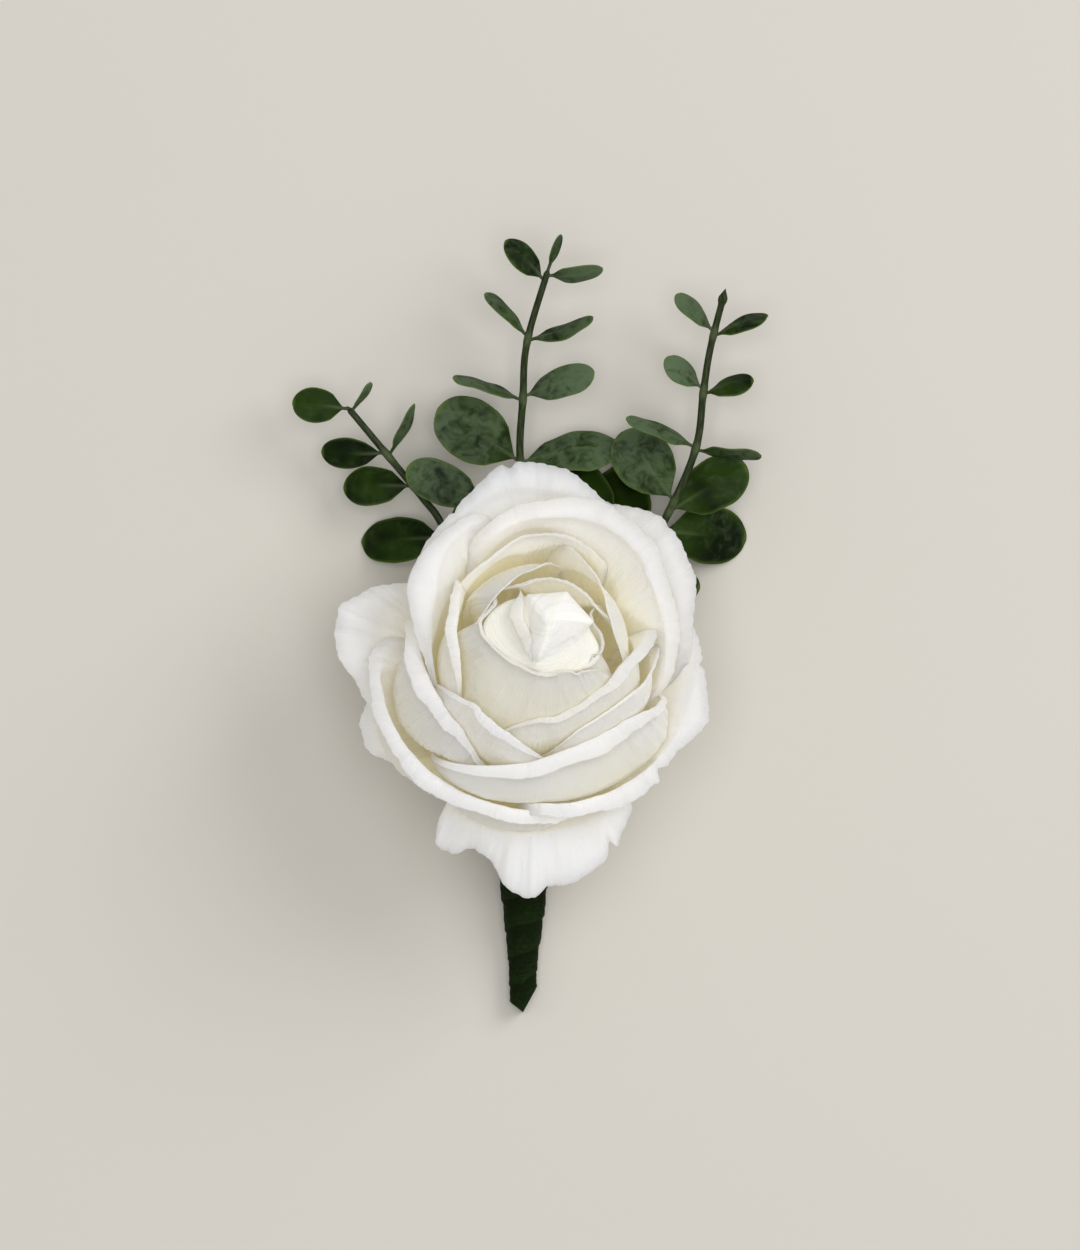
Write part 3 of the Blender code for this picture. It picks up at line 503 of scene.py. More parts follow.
class Shader:
    """One material under construction, whose nodes all come from the method `node`."""

    def __init__(self, name):
        self.material = bpy.data.materials.new(name)
        self.material.use_nodes = True
        self.material.cycles.emission_sampling = "NONE"
        self.tree = self.material.node_tree
        self.tree.nodes.clear()

    def node(self, kind, settings=None, sockets=None, output=0):
        """Adds a node, makes its settings, fills its sockets and returns one of its outputs."""
        made = self.tree.nodes.new("ShaderNode" + kind)
        for name, value in (settings or {}).items():
            setattr(made, name, value)
        for key, value in (sockets or {}).items():
            if isinstance(value, Value):
                self.tree.links.new(value.socket, made.inputs[key])
            else:
                made.inputs[key].default_value = value
        return Value(self, made.outputs[output]) if made.outputs else made

    def math(self, operation, first, second, clamp=False):
        return self.node("Math", {"operation": operation, "use_clamp": clamp},
                         {0: first, 1: second})

    def clamped(self, value):
        return self.math("ADD", value, 0.0, clamp=True)

    def between(self, value, low, high):
        """0 below low, 1 above high, smooth between."""
        return self.node("MapRange", {"interpolation_type": "SMOOTHSTEP"},
                         {"Value": value, "From Min": low, "From Max": high})

    def mixed(self, factor, first, second):
        """A colour between two: the Mix node's colour sockets are its seventh and eighth."""
        return self.node("Mix", {"data_type": "RGBA", "clamp_factor": True},
                         {0: factor, 6: first, 7: second}, output=2)

    def attribute(self, name):
        return self.node("Attribute", {"attribute_name": name}, output="Fac")

    def place(self):
        return self.node("TexCoord", output="Object")

    def along(self, across, up):
        """A vector of two attributes that follow the surface, in millimetres."""
        return self.node("CombineXYZ", sockets={0: self.attribute(across), 1: self.attribute(up)})

    def stretched(self, vector, factors):
        return self.node("VectorMath", {"operation": "MULTIPLY"}, {0: vector, 1: factors})

    def noise(self, vector, scale, detail=4.0, roughness=0.5, distortion=0.0):
        return self.node("TexNoise", sockets={
            "Vector": vector, "Scale": scale, "Detail": detail, "Roughness": roughness,
            "Distortion": distortion})

    def bump(self, height, distance, strength=1.0):
        return self.node("Bump", sockets={
            "Height": height, "Distance": distance, "Strength": strength})

    def finish(self, **sockets):
        """Closes the tree with a Principled shader whose sockets are given by name."""
        named = {name.replace("_", " "): value for name, value in sockets.items()}
        surface = self.node("BsdfPrincipled", sockets=named)
        self.node("OutputMaterial", sockets={"Surface": surface})
        return self.material


def rgba(colour):
    """A colour with full alpha, as a shader socket takes it."""
    return (*colour[:3], 1.0)


def petal_material(rose):
    """White petal, finely fibrous along its height and matt; creamy towards its foot, partly its own
    tint, partly painted shade.

    Its faint glow is painted light: an emission, weak on the lips and stronger deep inside, that
    lifts the shade between the petals.
    """
    shader = Shader("petal")
    fibres = shader.noise(shader.stretched(shader.along("around", "rise"), (1.0, 0.12, 1.0)),
                          scale=2.6, detail=5.0, roughness=0.6)
    clouds = shader.noise(shader.place(), scale=160.0, detail=3.0)
    # The cream deep inside is partly the petals' own tint at their foot, partly painted warm shade
    # of the hollows.
    depth = shader.clamped(shader.attribute("depth") + (clouds - 0.5) * 0.18)
    tint = shader.mixed(depth, rgba(rose.lip_colour), rgba(rose.depth_colour))
    colour = shader.mixed((fibres - 0.5) * 0.5, tint, (0.93, 0.91, 0.87, 1.0))
    grain = shader.noise(shader.place(), scale=1900.0, detail=2.0)
    folds = shader.noise(shader.stretched(shader.along("around", "rise"), (1.0, 0.22, 1.0)),
                         scale=0.38, detail=3.0, distortion=0.3)
    relief = shader.bump(folds * 4.0 + fibres * 1.1 + grain * 0.4, distance=0.00022, strength=0.7)
    # Painted light: an emission, weak on the lips and stronger deep inside, lifts the shade between
    # the petals.
    painted_glow = shader.mixed(depth, rgba(rose.lip_painted_glow), rgba(rose.depth_painted_glow))
    return shader.finish(Base_Color=colour, Roughness=0.62 + (grain - 0.5) * 0.15, Normal=relief,
                         Emission_Color=painted_glow, Emission_Strength=1.0,
                         Subsurface_Weight=1.0, Subsurface_Radius=(1.0, 0.9, 0.72),
                         Subsurface_Scale=0.0015, Sheen_Weight=0.12, Sheen_Roughness=0.5,
                         Specular_IOR_Level=0.3)


def leaf_material(greenery):
    """Soft leaf: dark green, clouded with pale bloom, with a lighter midrib and a rim lightened as a
    painted highlight.
    """
    shader = Shader("eucalyptus_leaf")
    cloud = shader.noise(shader.place(), scale=330.0, detail=5.0, roughness=0.62, distortion=0.9)
    streak = shader.noise(shader.stretched(shader.along("around", "rise"), (1.0, 0.3, 1.0)),
                          scale=0.9, detail=4.0)
    amount = shader.attribute("bloom")
    mask = shader.between(cloud * 0.8 + streak * 0.2 + amount * 0.3, 0.5, 0.82)
    patches = shader.noise(shader.place(), scale=120.0, detail=2.0)
    body = shader.mixed(shader.between(patches, 0.35, 0.68), rgba(greenery.leaf_dark),
                        rgba(greenery.leaf_green))
    clouded = shader.mixed(mask * (amount * 0.85 + 0.1), body, rgba(greenery.leaf_bloom))
    veined = shader.mixed(shader.attribute("midrib") * 0.4, clouded, rgba(greenery.midrib_colour))
    # Painted highlight: the rim is lightened as if light shone through the thin margin; the pale tip
    # shares the mask.
    highlighted_rim = shader.mixed(shader.attribute("rim") * 0.6, veined, rgba(greenery.rim_highlight_colour))
    grain = shader.noise(shader.place(), scale=1500.0, detail=2.0)
    relief = shader.bump(streak * 0.8 + grain * 0.25, distance=0.0001, strength=0.5)
    return shader.finish(Base_Color=highlighted_rim, Roughness=0.46 + mask * 0.16 + (grain - 0.5) * 0.1,
                         Normal=relief, Subsurface_Weight=0.05,
                         Subsurface_Radius=(0.4, 1.0, 0.2), Subsurface_Scale=0.001,
                         Specular_IOR_Level=0.06)


def stem_material(name, greenery, pale):
    """Green stem: long streaks, paler by the share `pale`, with slightly paler joints."""
    shader = Shader(name)
    streaks = shader.noise(shader.stretched(shader.along("around", "rise"), (1.0, 0.1, 1.0)),
                           scale=3.2, detail=4.0)
    base = shader.mixed(shader.between(streaks, 0.4, 0.7), rgba(greenery.stem_dark),
                        rgba(greenery.stem_green))
    joints = shader.clamped(shader.attribute("joint") * 0.3 + pale * streaks)
    colour = shader.mixed(joints, base, rgba(greenery.midrib_colour))
    relief = shader.bump(streaks, distance=0.00012, strength=0.6)
    return shader.finish(Base_Color=colour, Roughness=0.5 + (streaks - 0.5) * 0.2, Normal=relief,
                         Specular_IOR_Level=0.12)


def calyx_material(greenery):
    """Calyx: fresh green, with fine ribs along its sepals."""
    shader = Shader("calyx")
    ribs = shader.noise(shader.stretched(shader.along("around", "rise"), (1.0, 0.15, 1.0)),
                        scale=1.8, detail=4.0)
    patches = shader.noise(shader.place(), scale=300.0, detail=3.0)
    colour = shader.mixed(shader.clamped(ribs * 0.6 + patches * 0.5 - 0.1),
                          rgba(greenery.leaf_dark), rgba(greenery.calyx_green))
    relief = shader.bump(ribs + patches * 0.4, distance=0.00015, strength=0.6)
    return shader.finish(Base_Color=colour, Roughness=0.52 + (patches - 0.5) * 0.2, Normal=relief,
                         Specular_IOR_Level=0.4)


def tape_material(tape):
    """Florist's tape: dark green waxed paper, finely crinkled across its length."""
    shader = Shader("florist_tape")
    crinkle = shader.noise(shader.stretched(shader.along("around", "rise"), (0.35, 1.0, 1.0)),
                           scale=1.7, detail=6.0, roughness=0.65, distortion=0.4)
    grain = shader.noise(shader.place(), scale=1400.0, detail=3.0)
    # Paler where the crinkles stand up and where each lap rises to its edge.
    crinkle_and_lap_mask = shader.between(crinkle * 0.7 + grain * 0.3 + shader.attribute("edge") * 0.25, 0.5, 0.9)
    colour = shader.mixed(crinkle_and_lap_mask, rgba(tape.tape_dark), rgba(tape.tape_crinkle_colour))
    relief = shader.bump(crinkle + grain * 0.3, distance=0.0003, strength=0.7)
    return shader.finish(Base_Color=colour, Roughness=0.62 + (crinkle - 0.5) * 0.3, Normal=relief,
                         Specular_IOR_Level=0.04)


def floor_material(stage):
    """Matt paper-like ground, with the faintest mottling."""
    shader = Shader("ground")
    mottle = shader.noise(shader.place(), scale=14.0, detail=2.0)
    pale = rgba(stage.floor_colour)
    darker = rgba([channel * 0.985 for channel in stage.floor_colour])
    return shader.finish(Base_Color=shader.mixed(mottle, darker, pale), Roughness=0.9,
                         Specular_IOR_Level=0.1)


def wall(height):
    """The share of its girth that a layer of the bowl has as its radius at this height."""
    return through(WALL, height / WALL_TOP)


def girth_at(petal, degrees):
    """A petal's girth at these azimuths, and whether it is there at all."""
    whole_turns = np.round((degrees - (petal.start + petal.end) / 2) / 360)
    degrees = degrees - 360 * whole_turns
    share = (degrees - petal.start) / (petal.end - petal.start)
    there = (degrees > petal.start - petal.reach) & (degrees < petal.end + petal.reach)
    return through(petal.girth, share), there


def low_girth(petal, degrees):
    """The girth that a petal has low down, where it lies against its neighbours.

    On the far side of the flower that is the largest girth of the petals inside it, plus
    LAYER_GAP, but never more than its own. On the near side it is the smallest of those outside
    it, less LAYER_GAP, but never less than its own. The mean over GIRTH_BLUR degrees to either
    side evens it out.
    """
    total = np.zeros_like(degrees)
    for shift in np.linspace(-GIRTH_BLUR, GIRTH_BLUR, GIRTH_SAMPLES):
        own = through(petal.girth, (degrees + shift - petal.start) / (petal.end - petal.start))
        inner = np.full_like(own, LEAST_GIRTH)
        outer = np.full_like(own, np.inf)
        for other in PETALS:
            theirs, there = girth_at(other, degrees + shift)
            there = there & (other is not petal)
            inside = there & (theirs < own - LAYER_APART)
            outside = there & (theirs > own + LAYER_APART)
            inner = np.where(inside, np.maximum(inner, theirs), inner)
            outer = np.where(outside, np.minimum(outer, theirs), outer)
        outer = np.where(np.isfinite(outer), outer, own + LAYER_GAP)
        far = far_side(degrees + shift)
        total = total + far * np.minimum(inner + LAYER_GAP, own)
        total = total + (1 - far) * np.maximum(outer - LAYER_GAP, own)
    return total / GIRTH_SAMPLES


def far_side(degrees):
    """1 on the side of the flower towards the sprigs, whose petals show their inner faces."""
    return step(*FAR_SIDE, np.sin(np.radians(degrees + FAR_SIDE_TURN)))


def features_along(features, petal, degrees):
    """The sum of a petal's features: each is its size times a bell of its width at its azimuth."""
    total = np.zeros_like(degrees)
    for feature in features:
        if feature.petal == petal.name:
            away = np.mod(degrees - feature.azimuth + 180, 360) - 180
            total = total + feature.size * np.exp(-(away / feature.width) ** 2)
    return total


def petal_edge(petal, rose):
    """The line along which a petal's wall turns into its lip, for each column of its grid.

    Given are its azimuths in degrees, its girths, the distances along it, the heights of the
    crest, the lengths of the lip and the angles that the lip rolls by. At both ends height and
    length fall on a superellipse, so that the corners are round. Waves flutter all three.
    """
    seed = seed_of(petal.name)
    even = np.linspace(0, 1, PETAL_CELLS[0] + 1)
    across = even - COLUMN_CROWDING * np.sin(2 * np.pi * even)
    first, last = petal.start - petal.reach, petal.end + petal.reach
    degrees = first + (last - first) * across
    share = (degrees - petal.start) / (petal.end - petal.start)
    girth = through(petal.girth, share)
    arc = np.radians(degrees) * girth
    corner = np.sqrt(np.clip(1 - np.abs(2 * across - 1) ** petal.round, CORNER_LEAST, 1))
    flutter = waves(seed, arc, (27.0, 13.0, 6.5))
    ripple = waves(seed + 1, arc, (15.0, 6.2))
    fray = waves(seed + 2, arc, (2.3, 1.1, 0.6))
    swing = waves(seed + 3, arc, (21.0, 12.0))
    crest = through(petal.height, share) + rose.flutter * CREST_FLUTTER * flutter
    crest = PETAL_LEAST + (crest - PETAL_LEAST) * corner
    length = through(petal.lip, share) * corner * (1 + LIP_FLUTTER * rose.flutter * ripple)
    length = length - features_along(NOTCHES, petal, degrees)
    length = np.maximum(length + rose.fray / MM * fray * corner, LIP_LEAST)
    roll = np.radians(petal.roll + rose.flutter * ROLL_FLUTTER * swing)
    return degrees, girth, arc, crest, length, roll


def petal_wall(petal, degrees, girth, crest):
    """Radius and height of a petal's wall, from its foot to its crest.

    The radius is the girth times the wall's share at that height. Low down the girth is that of
    the gap that the petal fills, and over the last `flare` it comes to the petal's own.
    """
    rise = np.linspace(0, 1, PETAL_CELLS[1] + 1) ** ROW_CROWDING
    height = PETAL_FOOT + (crest - PETAL_FOOT)[:, None] * rise
    low = low_girth(petal, degrees)
    flare = FLARE_SHARE * np.abs(girth - low) + FLARE_LEAST
    own = step(0, 1, 1 - (crest[:, None] - height) / flare[:, None])
    breadth = low[:, None] + (girth - low)[:, None] * own
    return breadth * wall(height), height


def petal_lip(radius, height, length, roll):
    """Radius and height of a petal's lip, which goes on from the top of its wall.

    It starts with the wall's slope and turns outwards, fast at first: radius and height are the
    running sums of the sine and the cosine of the angle turned.
    """
    cells_over = PETAL_CELLS[2]
    lean = np.arctan2(radius[:, -1] - radius[:, -2], height[:, -1] - height[:, -2])
    over = np.linspace(0, 1, cells_over + 1)
    turn = lean[:, None] + (roll - lean)[:, None] * (1 - (1 - over) ** LIP_EASE)
    middle_turn = (turn[:, 1:] + turn[:, :-1]) / 2
    pace = length[:, None] / cells_over
    out = np.cumsum(np.sin(middle_turn) * pace, axis=1)
    up = np.cumsum(LIP_FLAT * np.cos(middle_turn) * pace, axis=1)
    return radius[:, -1:] + out, height[:, -1:] + up


def petal_depth(to_edge, girth, length):
    """How deep inside the flower each point of a petal is, from 0 to 1.

    It grows with the distance from the edge. It begins under the lip on an outer petal, and right
    at the edge, with DEPTH_AT_HEART, on one near the heart.
    """
    heartward = (1 - step(*NEAR_HEART, girth))[:, None]
    inside = to_edge - DEPTH_LIP_SHARE * (1 - heartward) * length[:, None] - DEPTH_START
    reach = DEPTH_REACH - DEPTH_REACH_CUT * heartward
    return np.clip(inside / reach + DEPTH_AT_HEART * heartward, 0, 1) ** DEPTH_POWER


def petal_surface(petal, rose):
    """Points of a petal's middle surface in the head's frame, its thickness, and its attributes.

    One parameter runs along the azimuth, the other up the wall and over the lip. Small waves dent
    and pucker the rim, and the creases lift the rows more towards it. A petal is thinner at its
    edge, and near the head's axis.
    """
    degrees, girth, arc, crest, length, roll = petal_edge(petal, rose)
    wall_radius, wall_height = petal_wall(petal, degrees, girth, crest)
    lip_radius, lip_height = petal_lip(wall_radius, wall_height, length, roll)
    radius = np.concatenate([wall_radius, lip_radius], axis=1)
    height = np.concatenate([wall_height, lip_height], axis=1)

    seed = seed_of(petal.name)
    near_rim = np.exp(-np.maximum(height[:, -1:] - height, 0) / RIM_REACH)
    grown = np.minimum(length, FULL_LIP)[:, None] / FULL_LIP
    dents = waves(seed + 4, arc, (8.0, 3.1, 1.6))[:, None]
    puckers = waves(seed + 5, arc, (6.0, 2.4))[:, None]
    rows = np.linspace(0, 1, radius.shape[1])
    lifted = np.clip((rows - CREASE_START) / (1 - CREASE_START), 0, 1)
    radius = radius + rose.flutter * DENT * dents * near_rim * grown
    height = height + rose.flutter * PUCKER * puckers * near_rim * grown
    height = height + features_along(CREASES, petal, degrees)[:, None] * lifted
    azimuth = np.radians(degrees)[:, None]
    points = np.stack([radius * np.cos(azimuth), radius * np.sin(azimuth), height], axis=2)

    steps = np.linalg.norm(np.diff(points, axis=1), axis=2)
    travelled = np.concatenate([np.zeros((len(arc), 1)), np.cumsum(steps, axis=1)], axis=1)
    to_edge = travelled[:, -1:] - travelled
    rim = RIM_SHARE + (1 - RIM_SHARE) * step(0, RIM_THINS, to_edge)
    inmost = INMOST_SHARE + (1 - INMOST_SHARE) * radius / THICK_RADIUS
    thickness = rose.petal_thickness / MM * rim * np.minimum(1, inmost)
    attributes = {"around": arc[:, None] + 0 * radius, "rise": travelled,
                  "depth": petal_depth(to_edge, girth, length)}
    return points, thickness, attributes


def add_petals(rose):
    """All the petals, each a closed sheet around its middle surface, and the heart."""
    material = petal_material(rose)
    for petal in PETALS:
        points, thickness, attributes = petal_surface(petal, rose)
        vertices, faces = sheet_mesh(from_head(points), thickness)
        attributes = {name: both_sides(values) for name, values in attributes.items()}
        add_piece(f"rose_petal_{petal.name}", [f"petal_{petal.name}"], vertices, faces,
                  material, attributes)
    add_heart(material)


def polygon_radius(corners, degrees):
    """The distance from the middle to a polygon's edge at these azimuths.

    Between corners at azimuths a and b, with radii p and q, a straight edge is at the distance
    p q sin(b - a) / (p sin(t - a) + q sin(b - t)) at the azimuth t.
    """
    radius = np.zeros_like(degrees)
    for (start, near), (end, far) in zip(corners, corners[1:] + corners[:1]):
        span = np.mod(end - start, 360)
        past = np.mod(degrees - start, 360)
        edge = near * far * np.sin(np.radians(span))
        edge = edge / (near * np.sin(np.radians(past)) + far * np.sin(np.radians(span - past)))
        radius = np.where(past < span, edge, radius)
    return radius


def add_heart(material):
    """The closed bud: its radius is the profile's share of the outline, or of the ring below it.

    Each fold is a ridge that runs up to the tip: the height adds a narrow peak in the azimuth,
    which turns with the height, and the bud's sides between the folds are a little hollow.
    """
    rings, sides = HEART_CELLS
    share, fill, height = through(HEART_PROFILE, np.linspace(0, 1, rings)).T[:, :, None]
    share = np.maximum(share, 0.004)
    turns = np.arange(sides)[None, :] / sides
    outline = polygon_radius(HEART_CORNERS, 360 * turns)
    radius = share * (outline + fill * (around(HEART_RING, turns) - outline))
    crown = step(*HEART_CROWN, height)
    raised = np.zeros_like(radius)
    for azimuth, size, width in HEART_FOLDS:
        swirl = azimuth + HEART_SWIRL * (1 - share)
        away = np.abs(np.mod(360 * turns - swirl + 180, 360) - 180)
        raised = raised + size * np.exp(-away / width) * step(0.05, 0.6, share)
    level = height + crown * (raised - HEART_HOLLOW * step(0.1, 0.7, share))
    angle = 2 * np.pi * turns
    points = np.stack([radius * np.cos(angle), radius * np.sin(angle), level], axis=2)
    vertices, faces = tube_mesh(from_head(points))
    least, most = HEART_DEPTH
    fallen = np.clip((HEART_DEPTH_TOP - height) / HEART_DEPTH_FALL, 0, 1)
    depth = least + (most - least) * fallen + 0 * radius
    attributes = {"around": radius * angle, "rise": height + 0 * radius, "depth": depth}
    add_piece("rose_petal_heart", ["petal_heart"], vertices, faces, material, attributes)


def add_calyx(greenery):
    """The cup under the petals: rings whose reach adds a share of the sepals' length.

    A sepal's length falls off from its middle as the cube of the cosine of its azimuth.
    """
    azimuth = np.arange(CALYX_SIDES) * 2 * np.pi / CALYX_SIDES
    rings = through(CALYX_RINGS, np.linspace(0, 1, CALYX_RINGS_DRAWN))
    radius, height, spread, fall = (rings[:, column:column + 1] for column in range(4))
    radius = np.maximum(radius, 0.02)
    sepal = SEPAL_LENGTH * np.abs(np.cos(SEPALS / 2 * azimuth))[None, :] ** 3
    reach = radius + np.clip(spread, 0, 1) * sepal
    level = height - np.clip(fall, 0, 1) * sepal
    points = np.stack([reach * np.cos(azimuth), reach * np.sin(azimuth), level + 0 * reach], axis=2)
    vertices, faces = tube_mesh(from_head(points))
    attributes = {"around": azimuth * 9 + 0 * reach, "rise": reach}
    add_piece("rose_calyx", ["calyx"], vertices, faces, calyx_material(greenery),
              attributes)


def tube_points(path, radii, sides):
    """Rings of points around a path: a circle in the plane square to it at each point."""
    ahead = np.gradient(path, axis=0)
    ahead /= np.linalg.norm(ahead, axis=1, keepdims=True)
    across = np.cross(ahead, NEVER_AHEAD)
    across /= np.linalg.norm(across, axis=1, keepdims=True)
    up = np.cross(across, ahead)
    turn = (np.arange(sides) * 2 * np.pi / sides)[None, :, None]
    ring = np.cos(turn) * across[:, None] + np.sin(turn) * up[:, None]
    return path[:, None] + radii[:, None, None] * ring


def travelled_along(path):
    """The distance from the start of a path to each of its points."""
    return np.concatenate([[0.0], np.cumsum(np.linalg.norm(np.diff(path, axis=0), axis=1))])


def stem_attributes(path, radii, sides, joint):
    """Distances around a stem and along it, and how close each point is to a leaf's joint."""
    around_stem = radii[:, None] * (np.arange(sides) * 2 * np.pi / sides)[None, :]
    rise = travelled_along(path)[:, None] + 0 * around_stem
    return {"around": around_stem, "rise": rise, "joint": joint[:, None] + 0 * around_stem}


def add_rose_stem(greenery):
    """The rose's own stem: a tube whose radius is a little uneven along its path."""
    rings, sides = ROSE_STEM_CELLS
    path = through(ROSE_STEM_PATH, np.linspace(0, 1, rings))
    uneven = waves(5, travelled_along(path), (7.0, 3.0))
    radii = ROSE_STEM_RADIUS * (1 + ROSE_STEM_UNEVEN * uneven)
    vertices, faces = tube_mesh(tube_points(path, radii, sides))
    add_piece("rose_stem_stalk", ["rose_stem"], vertices, faces,
              stem_material("rose_stem", greenery, 0.1),
              stem_attributes(path, radii, sides, np.zeros(rings)))


def sprig_radius(places):
    """A sprig's radius at places along its path from 0 to 1."""
    return SPRIG_RADIUS + (SPRIG_TIP_RADIUS - SPRIG_RADIUS) * places ** SPRIG_TAPER_POWER


def add_sprigs(greenery):
    """The eucalyptus stems: each swells where its leaves leave it and ends in a closed bud.

    A joint's swelling is a bell along y. The bud's radius follows BUD_RADII, up to the largest
    that its sprig has.
    """
    rings, sides = SPRIG_CELLS
    material = stem_material("eucalyptus_stem", greenery, 0.25)
    stalk = np.linspace(0, BUD_START, rings)
    bud = np.linspace(BUD_START, 1, BUD_CELLS)[1:]
    places = np.concatenate([stalk, bud])
    for name, points in SPRIG_PATHS.items():
        path = through(points, places)
        radii = sprig_radius(places)
        swelling = through(BUD_RADII, (bud - BUD_START) / (1 - BUD_START))
        radii[rings:] = np.clip(swelling, 0.02, BUD_LARGEST[name])
        joint = np.zeros(len(places))
        for leaf in LEAVES:
            if leaf.sprig == name:
                joint = np.maximum(joint, np.exp(-((path[:, 1] - leaf.y) / JOINT_LENGTH) ** 2))
        joint[rings:] = 0
        swollen = radii + JOINT_SWELL * joint * (places < BUD_START)
        vertices, faces = tube_mesh(tube_points(path, swollen, sides))
        add_piece(f"eucalyptus_stem_{name}", [f"sprig_{name}"], vertices, faces, material,
                  stem_attributes(path, swollen, sides, joint))


def leaf_foot(leaf):
    """The point from which a leaf's length is counted, and its distance from its stem's middle."""
    places = np.linspace(0, 1, 400)
    path = through(SPRIG_PATHS[leaf.sprig], places)
    nearest = int(np.argmin(np.abs(path[:, 1] - leaf.y)))
    outward = turned(np.array([1.0, 0.0, 0.0]), 0, leaf.pitch, leaf.heading)
    ahead = path[min(nearest + 1, len(path) - 1)] - path[max(nearest - 1, 0)]
    slant = abs(outward @ ahead) / np.linalg.norm(ahead)
    clear = (sprig_radius(places[nearest]) + STALK_CLEAR) / max(np.sqrt(1 - slant ** 2), STEEPEST)
    clear = clear + slant ** 2 * STALK_WIDTH / 2
    return path[nearest] + outward * clear, clear


def leaf_outline(leaf, clear):
    """Where the rows of a leaf lie along its midrib, their share of the blade, and half widths.

    The blade's half width is an ellipse whose widest place lies past its middle, narrowed to a
    wedge at the base. The stalk starts in its stem. A short stalk is taken up by the blade.
    """
    cells_stalk, cells_blade = LEAF_CELLS[:2]
    blade = (1 - np.cos(np.pi * np.linspace(0, 1, cells_blade + 1))) / 2
    blade_start = leaf.stalk if leaf.stalk > STALK_LONG else 0.4 * leaf.stalk - 0.5 * clear
    stalk = np.linspace(-clear, blade_start, cells_stalk + 1)[:-1]
    x = np.concatenate([stalk, blade_start + (leaf.length - blade_start) * blade])[:, None]
    part = np.concatenate([0 * stalk, blade])[:, None]
    skewed = part ** LEAF_SKEW
    ellipse = np.sqrt(np.clip(1 - (2 * skewed - 1) ** 2, 0, 1))
    wedge = np.clip(skewed / LEAF_WEDGE, 0, 1) ** LEAF_WEDGE_POWER
    blade_half = leaf.width / 2 * ellipse * wedge
    stalk_half = STALK_WIDTH / 2 * np.clip((leaf.length - x) / (0.3 * leaf.length), 0, 1) ** 0.5
    half = np.sqrt(blade_half ** 2 + (stalk_half * (1 - part)) ** 2)
    half = np.maximum(half, LEAF_NARROWEST)
    uneven = waves(seed_of(leaf.name), x, (9.0, 5.0))
    return x, part, half * (1 + LEAF_UNEVEN * uneven)


def leaf_surface(leaf, clear, greenery):
    """Points of a leaf's middle surface, its thickness, and its attributes.

    x runs along the midrib, y across it, and z is the height over the blade's plane: a sine arch
    along x, less a slope down from the midrib on each side, plus slow waves that grow towards the
    rim. The stalk is as thick as it is wide. The blade is thickest on its midrib.
    """
    x, part, half = leaf_outline(leaf, clear)
    even = np.linspace(-1, 1, LEAF_CELLS[2] + 1)[None, :]
    across = np.sin(even * np.pi / 2) * 0.5 + even * 0.5
    y = half * across
    blend = step(0.0, STALK_BLEND, part)
    highlighted_rim = waves(seed_of(leaf.name) + 1, x + 3 * across, (11.0, 6.0)) * across ** 2
    wavy = LEAF_WAVE * leaf.width * highlighted_rim
    slope = LEAF_FOLD * (np.sqrt(y ** 2 + FOLD_ROUND ** 2) - FOLD_ROUND)
    arch = leaf.arch * np.sin(np.pi * np.clip(x / leaf.length, 0, 1))
    points = np.stack([x + 0 * y, y, arch - slope + blend * wavy], axis=2)

    # The rim mask carries the painted highlight of the margin, and the pale tip.
    rim = np.clip((np.abs(across) - LEAF_RIM) / (1 - LEAF_RIM), 0, 1) ** 2 * blend
    rim = np.clip(rim + step(LEAF_TIP, 1.0, part), 0, 1)
    rib = np.exp(-(y / RIB_WIDTH) ** 2) * (1 - RIB_FADE * part)
    thin = greenery.leaf_thickness / MM * (1 + RIB_RISE * rib * blend) * (1 - RIM_FALL * rim)
    stalk_thick = STALK_WIDTH * np.sqrt(np.clip(1 - across ** 2, 0.05, 1))
    thickness = stalk_thick * (1 - blend) + thin * blend
    bloom = leaf.bloom * (0.75 + 0.5 * part) + 0 * y
    attributes = {"around": y, "rise": x + 0 * y, "rim": rim, "bloom": bloom,
                  "midrib": rib * (1 - step(*RIB_PALE, part))}
    return points, thickness, attributes


def add_leaves(greenery):
    """All the leaves, each turned by its roll, pitch and heading and moved to its foot."""
    material = leaf_material(greenery)
    for leaf in LEAVES:
        foot, clear = leaf_foot(leaf)
        points, thickness, attributes = leaf_surface(leaf, clear, greenery)
        placed = turned(points, leaf.roll, leaf.pitch, leaf.heading) + foot
        vertices, faces = sheet_mesh(placed, thickness)
        attributes = {name: both_sides(values) for name, values in attributes.items()}
        add_piece(f"eucalyptus_leaf_{leaf.name}", [f"leaf_{leaf.name}"], vertices, faces,
                  material, attributes)


def tape_relief(turn, down, tape):
    """How far the wrap's outside stands off its radius, and how near each point is to a lap's edge.

    The laps are a saw-tooth along a helix, whose turn rises by the pitch. Small waves that run
    around and down add the crinkles.
    """
    pitch = tape.lap_pitch / MM
    lap = np.mod((down - pitch * turn / (2 * np.pi)) / pitch, 1.0)
    edge = np.minimum(lap, 1 - step(TAPE_LAP_END, 1.0, lap))
    crinkle = waves(31, down + 2.0 * np.sin(2 * turn), (3.1, 1.3)) * np.sin(3 * turn + down * 0.8)
    bumps = waves(33, turn * 4 + down * 0.3, (9.0, 5.0))
    relief = tape.lap_step / MM * (edge - 0.6) + TAPE_CRINKLE * crinkle + TAPE_BUMP * bumps
    return relief, edge


